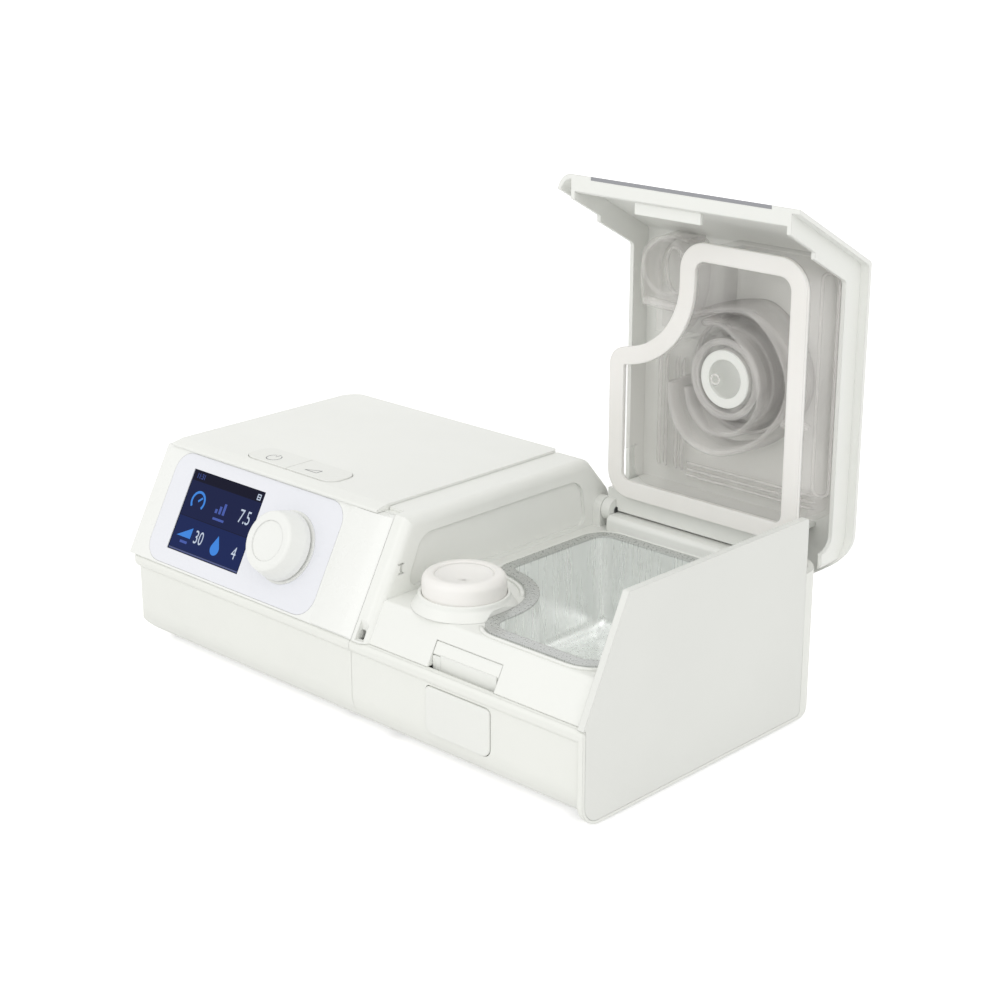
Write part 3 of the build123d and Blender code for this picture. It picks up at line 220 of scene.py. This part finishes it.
def fibrous(name, colour, scale, depth):
    """Open foam or filter fibre."""
    look = Look(name, Roughness=0.95)
    base = linear(colour)
    cells = look.add("ShaderNodeTexVoronoi")
    cells.inputs["Scale"].default_value = scale
    look.link(look.coordinates, cells.inputs["Vector"])
    look.tint(look.spread(cells.outputs["Distance"], 0.0, 1.0, 0.0, 0.7), shaded(base, 0.6), base)
    look.bump(cells.outputs["Distance"], depth)
    return look.material


foam_grey = fibrous("foam_grey", (74, 75, 78), 700.0, 0.3)
filter_white = fibrous("filter_white", (226, 226, 222), 1100.0, 0.2)

soft_look = Look("silicone", IOR=1.41, Subsurface_Weight=0.2, Subsurface_Scale=0.002)
soft_look.shader.inputs["Subsurface Radius"].default_value = (1.0, 0.97, 0.93)
soft_flow = soft_look.spread(soft_look.noise(30.0), 0.0, 1.0)
soft_look.tint(soft_flow, linear((238, 236, 232)), linear((243, 241, 238)))
soft_look.rough(soft_look.spread(soft_look.noise(140.0), 0.36, 0.46))
soft_look.round_edges(0.9)
soft_look.bump(soft_look.noise(900.0), 0.008)
silicone = soft_look.material


def clear_resin(name, alpha, transmission):
    """Clear moulded resin with faint waves in its faces."""
    look = Look(name, IOR=1.45, Roughness=0.08, Transmission_Weight=transmission, Alpha=alpha)
    look.tint(look.spread(look.noise(12.0), 0.0, 1.0), linear((253, 250, 247)), linear((255, 253, 250)))
    look.round_edges(0.9)
    look.bump(look.noise(60.0, 2.0), 0.02)
    return look.material


clear = clear_resin("clear_plastic", 0.18, 0.0)
clear_thick = clear_resin("clear_plastic_thick", 0.3, 0.1)

glass_look = Look("screen_glass", IOR=1.5, Roughness=0.14, Specular_IOR_Level=0.12)
glass_flow = glass_look.spread(glass_look.noise(20.0), 0.0, 1.0)
glass_look.tint(glass_flow, (0.004, 0.008, 0.03), (0.006, 0.012, 0.04))
screen_glass = glass_look.material

finishes = [
    (base_white, ["blower_base", "humidifier_base"]),
    (panel_white, ["end_panel"]),
    (shell_white, ["upper_housing", "top_cover", "filter_cover", "humidifier_liner", "connector_collar",
                   "latch_slider", "lid_shell", "outlet_port", "lid_catch"]),
    (bezel_white, ["front_bezel"]),
    (faceplate_white, ["faceplate"]),
    (screen_glass, ["display_window"]),
    (key_white, ["start_stop_key", "ramp_key", "release_button"]),
    (knob_white, ["knob", "knob_ring"]),
    (silicone, ["connector_seal", "lid_gasket", "inlet_seal"]),
    (inlay_grey, ["lid_inlay"]),
    (clear, ["lid_inner"]),
    (tank_steel, ["water_tank"]),
    (screw_steel, ["base_screws", "encoder_plunger", "encoder_shaft", "key_board_screws", "blower_screws",
                   "motor_shaft", "motor_bearings", "board_screws", "latch_springs", "hinge_pins"]),
    (heater_metal, ["heater_plate", "motor_can"]),
    (inner_dark, ["lcd_spacers", "rotary_encoder", "inlet_silencer", "heater_carrier"]),
    (blower_grey, ["blower_lower_case", "blower_upper_case", "impeller"]),
    (duct_white, ["air_duct"]),
    (board_green, ["control_board", "key_board", "main_board"]),
    (black_plastic, ["lcd_module", "key_switches", "power_inlet", "board_components"]),
    (rubber_grey, ["rubber_feet", "blower_mounts"]),
    (foam_grey, ["silencer_foam", "heater_insulator"]),
    (filter_white, ["air_filter"]),
    (magnet_dark, ["motor_rotor"]),
    (copper, ["motor_stator"]),
]
for material, names in finishes:
    for name in names:
        nodes[name].data.materials.clear()
        nodes[name].data.materials.append(material)

# Mesh helpers


def piece(name, mesh_or_bm, material, body):
    """A new object that rides on a body."""
    mesh = mesh_or_bm
    if isinstance(mesh_or_bm, bmesh.types.BMesh):
        mesh = bpy.data.meshes.new(name)
        mesh_or_bm.to_mesh(mesh)
        mesh_or_bm.free()
    obj = bpy.data.objects.new(name, mesh)
    bpy.context.scene.collection.objects.link(obj)
    obj.data.materials.append(material)
    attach(obj, body)


def smooth(points, steps=8):
    """Points along a smooth curve through the given ones."""
    ends = [points[0]] + list(points) + [points[-1]]
    out = []
    for i in range(len(points) - 1):
        p0, p1, p2, p3 = (Vector(ends[i + j]) for j in range(4))
        for k in range(steps):
            t = k / steps
            out.append(
                0.5 * ((2 * p1) + (p2 - p0) * t + (2 * p0 - 5 * p1 + 4 * p2 - p3) * t**2
                       + (3 * p1 - p0 - 3 * p2 + p3) * t**3)
            )
    out.append(Vector(points[-1]))
    return out


def rounded_loop(points, radii, steps=8):
    """A closed outline with rounded corners."""
    out = []
    for i, (corner, radius) in enumerate(zip(points, radii)):
        corner = Vector(corner)
        before = (Vector(points[i - 1]) - corner).normalized()
        after = (Vector(points[(i + 1) % len(points)]) - corner).normalized()
        half = before.angle(after) / 2
        reach = radius / math.tan(half)
        centre = corner + (before + after).normalized() * (radius / math.sin(half))
        start = corner + before * reach - centre
        end = corner + after * reach - centre
        turn = start.angle_signed(end)
        for k in range(steps + 1):
            angle = turn * k / steps
            out.append(centre + Matrix.Rotation(-angle, 2) @ start)
    return out


def grown(loop, amount):
    """A closed outline moved outwards."""
    area = sum(a.x * b.y - b.x * a.y for a, b in zip(loop, loop[1:] + loop[:1]))
    side = 1 if area > 0 else -1
    out = []
    for i, point in enumerate(loop):
        along = (loop[(i + 1) % len(loop)] - loop[i - 1]).normalized()
        out.append(point + Vector((along.y, -along.x)) * amount * side)
    return out


def loft(rings, closed=False):
    """A skin over rings of points, with flat ends or joined into a loop."""
    bm = bmesh.new()
    rows = [[bm.verts.new(point) for point in ring] for ring in rings]
    count = len(rows[0])
    pairs = list(zip(rows, rows[1:])) + ([(rows[-1], rows[0])] if closed else [])
    for a, b in pairs:
        for i in range(count):
            j = (i + 1) % count
            bm.faces.new((a[i], a[j], b[j], b[i]))
    if not closed:
        bm.faces.new(rows[0][::-1])
        bm.faces.new(rows[-1])
    bmesh.ops.recalc_face_normals(bm, faces=bm.faces)
    for face in bm.faces:
        face.smooth = len(face.verts) == 4
    return bm


def wall(path, profile, put):
    """A wall along a plan path. The profile gives offsets across the path and heights."""
    rings = []
    for i, point in enumerate(path):
        along = (path[min(i + 1, len(path) - 1)] - path[max(i - 1, 0)]).normalized()
        across = Vector((along.y, -along.x))
        rings.append([put(*(point + across * n), z) for n, z in profile])
    return loft(rings)


# Radius of a bar's end points as a share of the bar's own
END_SHARE = 0.55


def bar(name, points, radius, material, body, closed):
    """A round bar through points. An open one is thinner at its ends."""
    curve = bpy.data.curves.new(name, "CURVE")
    curve.dimensions = "3D"
    curve.bevel_depth = radius * MM
    curve.bevel_resolution = 4
    curve.use_fill_caps = True
    spline = curve.splines.new("POLY")
    spline.points.add(len(points) - 1)
    for i, point in enumerate(points):
        spline.points[i].co = (*point, 1)
        if not closed and i in (0, len(points) - 1):
            spline.points[i].radius = END_SHARE
    spline.use_cyclic_u = closed
    spline.use_smooth = True
    obj = bpy.data.objects.new(name, curve)
    bpy.context.scene.collection.objects.link(obj)
    curve.materials.append(material)
    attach(obj, body)


def flat(points):
    """A flat face through points."""
    bm = bmesh.new()
    bm.faces.new([bm.verts.new(point) for point in points])
    return bm


def lines(loops):
    """Flat strips of even width, each between two rows of points."""
    bm = bmesh.new()
    for left, right in loops:
        a = [bm.verts.new(point) for point in left]
        b = [bm.verts.new(point) for point in right]
        for i in range(len(a) - 1):
            bm.faces.new((a[i], b[i], b[i + 1], a[i + 1]))
    return bm


# Screen picture: rows, plain numbers and simple signs, drawn just above the window

# The lit area's left edge, its upper edge up the slope, and its size
SCREEN_X = 23.2
SCREEN_S = 43.9
SCREEN_WIDTH = 46.9
SCREEN_HEIGHT = 35.7
# Height of the window's face over the slope
WINDOW_H = -0.3
# Heights over the window: the rows, the signs on them and the strokes of signs
ROW_LIFT = 0.02
SIGN_LIFT = 0.05
STROKE_LIFT = 0.06
# Height of a figure as a share of the type size
CAP_SHARE = 0.7


def on_screen(u, v, lift):
    """A point on the window: across from the left, down from the top, as shares."""
    return on_slope(SCREEN_X + SCREEN_WIDTH * u, SCREEN_S - SCREEN_HEIGHT * v, WINDOW_H + lift)


# Share of a lit colour that the surface reflects as well, and how far its dark spots fall below that
LIT_BODY = 0.18
LIT_SHADE = 0.86


def lit(name, colour):
    """A lit area of the screen, with a slight unevenness."""
    look = Look(name, Roughness=0.3, Specular_IOR_Level=0.08, Emission_Strength=0.82)
    base = linear(colour)
    look.shader.inputs["Emission Color"].default_value = (*base, 1)
    uneven = look.spread(look.noise(60.0), 0.0, 1.0)
    look.tint(uneven, shaded(base, LIT_BODY * LIT_SHADE), shaded(base, LIT_BODY))
    return look.material


row_dark = lit("screen_row_dark", (9, 10, 36))
row_middle = lit("screen_row_middle", (19, 28, 68))
row_low = lit("screen_row_low", (20, 35, 84))
row_edge = lit("screen_edge", (84, 92, 134))
sign_blue = lit("screen_blue", (64, 134, 222))
sign_dim = lit("screen_dim_blue", (72, 92, 168))
digit_light = lit("screen_digits", (196, 208, 226))

rows = {
    "screen_status_row": (row_dark, 0.0, 0.13),
    "screen_middle_row": (row_middle, 0.13, 0.565),
    "screen_low_row": (row_low, 0.572, 0.965),
    "screen_row_line": (row_dark, 0.565, 0.572),
    "screen_low_edge": (row_edge, 0.972, 0.99),
}
for name, (material, top, foot) in rows.items():
    corners = [(0.012, foot), (0.988, foot), (0.988, top), (0.012, top)]
    piece(name, flat([on_screen(u, v, ROW_LIFT) for u, v in corners]), material, "machine")


def figures(name, text, u, v, height, squeeze, material):
    """Plain numbers on the screen, with their middle at a place."""
    curve = bpy.data.curves.new(name, "FONT")
    curve.body = text
    curve.size = height * MM / CAP_SHARE
    curve.align_x = "CENTER"
    curve.align_y = "CENTER"
    holder = bpy.data.objects.new(name, curve)
    bpy.context.scene.collection.objects.link(holder)
    bpy.context.view_layer.update()
    shape = holder.evaluated_get(bpy.context.evaluated_depsgraph_get())
    mesh = bpy.data.meshes.new_from_object(shape)
    bpy.data.objects.remove(holder)
    origin = on_screen(u, v, SIGN_LIFT)
    rise = Vector((0, math.cos(SLOPE), math.sin(SLOPE)))
    out = Vector((0, -math.sin(SLOPE), math.cos(SLOPE)))
    mesh.transform(Matrix((
        (squeeze, rise.x, out.x, origin.x),
        (0, rise.y, out.y, origin.y),
        (0, rise.z, out.z, origin.z),
        (0, 0, 0, 1),
    )))
    mesh.materials.clear()
    piece(name, mesh, material, "machine")


figures("screen_number_upper", "7.5", 0.845, 0.36, 5.9, 0.74, digit_light)
figures("screen_number_lower_left", "30", 0.36, 0.775, 5.7, 0.74, digit_light)
figures("screen_number_lower_right", "4", 0.868, 0.795, 5.3, 0.8, digit_light)
figures("screen_clock", "11:31", 0.115, 0.068, 2.3, 0.8, sign_dim)


def arc(u, v, radius, start, end, count=28):
    """Points of an arc on the screen, in millimetres round a place."""
    out = []
    for k in range(count + 1):
        a = math.radians(start + (end - start) * k / count)
        out.append((u + radius * math.cos(a) / SCREEN_WIDTH, v - radius * math.sin(a) / SCREEN_HEIGHT))
    return out


def ring_strip(u, v, radius, width, start, end):
    """Two rows of points for a part of a ring on the screen."""
    outer = [on_screen(*p, SIGN_LIFT) for p in arc(u, v, radius, start, end)]
    inner = [on_screen(*p, SIGN_LIFT) for p in arc(u, v, radius - width, start, end)]
    return outer, inner


def screen_strip(a, b, width):
    """A straight stroke on the screen between two places, as two rows of points."""
    run = Vector(((b[0] - a[0]) * SCREEN_WIDTH, (b[1] - a[1]) * SCREEN_HEIGHT)).normalized() * width / 2
    du, dv = -run.y / SCREEN_WIDTH, run.x / SCREEN_HEIGHT
    left = [on_screen(p[0] + du, p[1] + dv, STROKE_LIFT) for p in (a, b)]
    right = [on_screen(p[0] - du, p[1] - dv, STROKE_LIFT) for p in (a, b)]
    return left, right


GAUGE = (0.185, 0.36)
gauge = [ring_strip(*GAUGE, 4.6, 1.1, -40, 220), screen_strip(GAUGE, (0.235, 0.305), 0.9)]
piece("screen_gauge_sign", lines(gauge), sign_blue, "machine")
column = [screen_strip((u, 0.42), (u, top), 1.5) for u, top in ((0.46, 0.37), (0.51, 0.325), (0.56, 0.28))]
piece("screen_level_sign", lines(column), sign_dim, "machine")
wedge = [on_screen(u, v, SIGN_LIFT) for u, v in ((0.06, 0.815), (0.252, 0.815), (0.252, 0.68))]
piece("screen_wedge_sign", flat(wedge), sign_blue, "machine")
under = [screen_strip((0.13, 0.872), (0.23, 0.872), 1.1), screen_strip((0.445, 0.487), (0.6, 0.487), 1.0)]
piece("screen_unit_bars", lines(under), sign_dim, "machine")
DROP_U = 0.609
drop = [on_screen(u, v, SIGN_LIFT) for u, v in [(DROP_U, 0.66)] + arc(DROP_U, 0.825, 2.75, 30, -210, 20)]
piece("screen_drop_sign", flat(drop[::-1]), sign_blue, "machine")
card = [screen_strip(a, b, 0.45) for a, b in (
    ((0.915, 0.045), (0.915, 0.105)), ((0.955, 0.045), (0.955, 0.105)),
    ((0.911, 0.045), (0.959, 0.045)), ((0.911, 0.105), (0.959, 0.105)), ((0.92, 0.075), (0.95, 0.075)),
)]
piece("screen_card_sign", lines(card), digit_light, "machine")

# Signs on the two keys: a broken ring with a stroke, and a wedge, just above the keys' tops
KEY_TOP = 85.83
sign_grey = moulded("sign_grey", (128, 129, 132), (0.5, 0.6), 0.0, 0.0)


def key_strip(path, width):
    """A line on a key's top along a path, as two rows of points."""
    path = [Vector(p) for p in path]
    left, right = [], []
    for i, point in enumerate(path):
        along = (path[min(i + 1, len(path) - 1)] - path[max(i - 1, 0)]).normalized()
        across = Vector((-along.y, along.x)) * width / 2
        left.append(place(*(point + across), KEY_TOP))
        right.append(place(*(point - across), KEY_TOP))
    return left, right


START_X = 57.6
START_Y = 36.6
START_RADIUS = 3.3
START_LINE = 0.42
ring_path = []
for degrees in range(115, 426, 10):
    turn = math.radians(degrees)
    ring_path.append((START_X + START_RADIUS * math.cos(turn), START_Y + START_RADIUS * math.sin(turn)))
stroke_path = [(START_X, START_Y + 1.0), (START_X, START_Y + 4.0)]
start_lines = [key_strip(ring_path, START_LINE), key_strip(stroke_path, START_LINE)]
piece("start_key_sign", lines(start_lines), sign_grey, "start_key")
corners = [(79.4, 34.9), (86.4, 34.9), (86.4, 38.3)]
wedge_lines = [key_strip([corners[i - 1], corners[i]], 0.4) for i in range(3)]
piece("ramp_key_sign", lines(wedge_lines), sign_grey, "ramp_key_body")

# Middle of the air connector on the deck, and the space that the border keeps round it
SEAL = Vector((177.0, 30.0))
SEAL_CLEAR = 22.2

# Raised border on the deck round the tank's rim, open where the connector stands
tank_corners = [(195.6, 14.5), (195.6, 57.0), (160.0, 65.1), (160.0, 130.0), (259.0, 130.0), (259.0, 14.5)]
tank_loop = rounded_loop(tank_corners, [13.0, 30.0, 9.0, 12.0, 12.0, 14.0])
border = grown(tank_loop, 1.55)
clear_of_seal = [(p - SEAL).length > SEAL_CLEAR for p in border]
first = next(i for i in range(len(border)) if clear_of_seal[i] and not clear_of_seal[i - 1])
border = border[first:] + border[:first]
border = [p for p in border if (p - SEAL).length > SEAL_CLEAR]
bead = [(-0.75, 54.1), (-0.75, 54.85), (-0.45, 55.15), (0.3, 55.15), (0.9, 54.8), (1.5, 54.1)]
piece("deck_border", wall(border, bead, place), shell_white, "machine")

# Soft dished valve across the connector's mouth, with its small middle hole
flap_face = [
    (11.7, 66.9), (10.6, 66.7), (9.0, 65.8), (6.0, 64.9), (3.0, 64.5), (0.5, 64.4), (0.5, 63.7), (3.0, 63.8),
    (6.2, 64.2), (9.2, 65.1), (11.9, 65.9),
]
FLAP_STEPS = 48
flap_rings = []
for k in range(FLAP_STEPS):
    turn = 2 * math.pi * k / FLAP_STEPS
    across = Vector((math.cos(turn), math.sin(turn)))
    flap_rings.append([place(*(SEAL + across * r), z) for r, z in flap_face])
piece("connector_flap", loft(flap_rings, True), silicone, "machine")

# Clear forms inside the lid: the air path's walls, inlet ring, bars and steps
ROOF = 83.7


def ridge(crest, half, root):
    """Cross-section of a moulded wall from the lid's roof to a rounded crest."""
    return [
        (-root, ROOF), (-half, crest + 1.6), (-half * 0.6, crest + 0.4), (0, crest),
        (half * 0.6, crest + 0.4), (half, crest + 1.6), (root, ROOF),
    ]


scroll_outer = [
    (192.0, 49.5), (199.0, 47.0), (210.0, 44.0), (222.7, 43.5), (235.0, 53.0), (241.8, 67.0), (240.6, 79.2),
    (232.6, 91.2), (220.5, 100.1), (205.2, 104.6), (191.5, 100.6), (184.0, 89.5), (183.2, 78.6),
]
scroll_inner = [
    (200.0, 50.5), (210.6, 50.7), (222.0, 58.5), (228.6, 71.0), (227.6, 84.0), (218.0, 93.6), (205.0, 95.4),
    (195.5, 88.7), (192.4, 78.7),
]
inlet_arch = [(164.5, 50.0), (163.2, 34.0), (168.0, 24.5), (177.0, 19.5), (187.0, 20.5)]
clear_walls = {
    "lid_scroll_outer": (scroll_outer, 67.0, 1.5),
    "lid_scroll_inner": (scroll_inner, 66.0, 1.4),
    "lid_inlet_arch": (inlet_arch, 72.0, 1.1),
}
for name, (path, crest, half) in clear_walls.items():
    points = [Vector(p) for p in smooth(path)]
    piece(name, wall(points, ridge(crest, half, half + 0.5), opened), clear_thick, "lid")


def lid_bar(name, points, radius, closed=False):
    """A round clear bar in the lid through points of the closed lid."""
    bar(name, [opened(*p) for p in points], radius, clear_thick, "lid", closed)


def lid_loop(centre, radius, z, tilt=0.0, count=40):
    """A ring of points in the lid, tilted about a line that runs from front to back."""
    out = []
    for k in range(count):
        a = 2 * math.pi * k / count
        side = radius * math.cos(a)
        y = centre[1] + radius * math.sin(a)
        out.append((centre[0] + side * math.cos(tilt), y, z + side * math.sin(tilt)))
    return out


lid_bar("lid_inlet_ring", lid_loop((179.5, 33.5), 9.4, 74.2, math.radians(-28)), 0.9, True)
inlet_bar = [(164.5, 47.8, 73.0), (166.0, 47.9, 72.8), (184.0, 48.6, 72.4), (189.0, 50.0, 72.4)]
lid_bar("lid_inlet_bar", inlet_bar, 2.1)
outlet_bar = [(238.5, 85.5, 69.5), (240.5, 85.5, 69.5), (250.5, 84.5, 69.5), (252.3, 84.5, 69.5)]
lid_bar("lid_outlet_bar", outlet_bar, 2.0)
# Rails and steps dip into the roof at both ends
RAIL_Z = 82.0
RAIL_END_Z = 82.8
for i, x in enumerate((166.8, 170.4, 176.0, 179.2)):
    rail = [(x, 72.0, RAIL_END_Z), (x, 74.0, RAIL_Z), (x, 119.0, RAIL_Z), (x, 121.0, RAIL_END_Z)]
    lid_bar(f"lid_rail_{i + 1}", rail, 0.9)
STEP_Z = 81.8
STEP_END_Z = 82.4
for i, y in enumerate((117.0, 119.8, 122.4)):
    step = [(182.0, y, STEP_END_Z), (184.0, y, STEP_Z), (246.0, y, STEP_Z), (248.0, y, STEP_END_Z)]
    lid_bar(f"lid_step_{i + 1}", step, 0.7)
recess_corners = [(250.3, 24.0), (258.0, 24.0), (258.0, 114.0), (250.3, 114.0)]
recess = rounded_loop(recess_corners, [3.0, 3.4, 3.4, 3.0], 5)
RECESS_Z = 76.5
lid_bar("lid_side_recess", [(p.x, p.y, RECESS_Z) for p in recess], 0.8, True)
lid_bar("lid_port_peg_ring", lid_loop((207.6, 72.8), 2.0, 66.6, count=24), 0.5, True)
LID_PORT = (212.0, 72.0)
port_rings = {"lid_port_ring_outer": (15.4, 67.4, 1.7), "lid_port_ring_step": (24.6, 80.0, 1.1)}
for name, (radius, z, thick) in port_rings.items():
    lid_bar(name, lid_loop(LID_PORT, radius, z), thick, True)

# Wing of the latch plate that closes the left end of its slot
WING_X = (184.3, 188.6)
WING_Y = (5.5, 7.2)
WING_Z = (35.5, 42.6)
WING_ROUND = 0.5
wing_corners = [(WING_X[i], WING_Z[j]) for i, j in ((0, 0), (1, 0), (1, 1), (0, 1))]
wing = rounded_loop(wing_corners, [WING_ROUND] * 4, 4)
wing_skin = loft([[place(p.x, y, p.y) for p in wing] for y in WING_Y])
piece("latch_wing", wing_skin, shell_white, "release")

# Camera at the photograph's viewpoint
YAW = math.radians(43.7655)
PITCH = math.radians(18.8445)
EYE = Vector((0.5543, -0.5554, 0.3448))
camera_data = bpy.data.cameras.new("camera")
camera_data.sensor_width = 36.0
camera_data.lens = 72.443
camera = bpy.data.objects.new("camera", camera_data)
bpy.context.scene.collection.objects.link(camera)
forward = Vector((-math.sin(YAW) * math.cos(PITCH), math.cos(YAW) * math.cos(PITCH), -math.sin(PITCH)))
right = Vector((math.cos(YAW), math.sin(YAW), 0))
up = right.cross(forward)
camera.matrix_world = Matrix((
    (right.x, up.x, -forward.x, EYE.x),
    (right.y, up.y, -forward.y, EYE.y),
    (right.z, up.z, -forward.z, EYE.z),
    (0, 0, 0, 1),
))
camera_data.clip_start = 0.01
camera_data.clip_end = 50.0
bpy.context.scene.camera = camera
bpy.context.scene.view_settings.view_transform = "Standard"

# Floor, world and lamps
WHITE_RAYS = ("Is Camera Ray", "Is Glossy Ray", "Is Transmission Ray")
SKY_COLOUR = (1.0, 1.0, 0.985, 1)
SKY_STRENGTH = 0.87
FLOOR_COLOUR = (0.84, 0.84, 0.84, 1)
FLOOR_GLOW = 0.5
FLOOR_HALF = 6.0


def seen_as_white(tree):
    """1 for the rays that see the background, 0 for those that carry its light."""
    path = tree.nodes.new("ShaderNodeLightPath")
    seen = path.outputs[WHITE_RAYS[0]]
    for ray in WHITE_RAYS[1:]:
        either = tree.nodes.new("ShaderNodeMath")
        either.operation = "MAXIMUM"
        tree.links.new(seen, either.inputs[0])
        tree.links.new(path.outputs[ray], either.inputs[1])
        seen = either.outputs[0]
    return seen


def join_white(tree, plain, white, output):
    """Gives the white shader to the rays that see the background, and the plain one to all others."""
    mix = tree.nodes.new("ShaderNodeMixShader")
    tree.links.new(seen_as_white(tree), mix.inputs[0])
    tree.links.new(plain.outputs[0], mix.inputs[1])
    tree.links.new(white.outputs[0], mix.inputs[2])
    tree.links.new(mix.outputs[0], tree.nodes[output].inputs["Surface"])


world = bpy.data.worlds.new("studio")
bpy.context.scene.world = world
world.use_nodes = True
tree = world.node_tree
soft = tree.nodes["Background"]
soft.inputs["Color"].default_value = SKY_COLOUR
soft.inputs["Strength"].default_value = SKY_STRENGTH
bright = tree.nodes.new("ShaderNodeBackground")
bright.inputs["Color"].default_value = (1, 1, 1, 1)
join_white(tree, soft, bright, "World Output")

floor_bm = bmesh.new()
bmesh.ops.create_grid(floor_bm, x_segments=1, y_segments=1, size=FLOOR_HALF)
floor_mesh = bpy.data.meshes.new("floor")
floor_bm.to_mesh(floor_mesh)
floor_bm.free()
floor = bpy.data.objects.new("floor", floor_mesh)
bpy.context.scene.collection.objects.link(floor)
floor_look = bpy.data.materials.new("floor")
floor_look.use_nodes = True
tree = floor_look.node_tree
matt = tree.nodes["Principled BSDF"]
matt.inputs["Base Color"].default_value = FLOOR_COLOUR
matt.inputs["Roughness"].default_value = 0.9
glow = tree.nodes.new("ShaderNodeEmission")
glow.inputs["Strength"].default_value = FLOOR_GLOW
both = tree.nodes.new("ShaderNodeAddShader")
tree.links.new(matt.outputs[0], both.inputs[0])
tree.links.new(glow.outputs[0], both.inputs[1])
join_white(tree, matt, both, "Material Output")
floor.data.materials.append(floor_look)

LAMP_AIM = Vector((0, 0, 0.05))
LAMP_SIZE = 1.4


def lamp(name, where, power):
    """A round soft lamp that points at the part."""
    data = bpy.data.lights.new(name, "AREA")
    data.shape = "DISK"
    data.size = LAMP_SIZE
    data.energy = power
    obj = bpy.data.objects.new(name, data)
    obj.location = where
    obj.rotation_euler = (LAMP_AIM - Vector(where)).to_track_quat("-Z", "Y").to_euler()
    bpy.context.scene.collection.objects.link(obj)


lamp("key", (-0.5, -1.7, 1.1), 5.6)
lamp("fill", (1.4, -0.8, 1.1), 5.3)
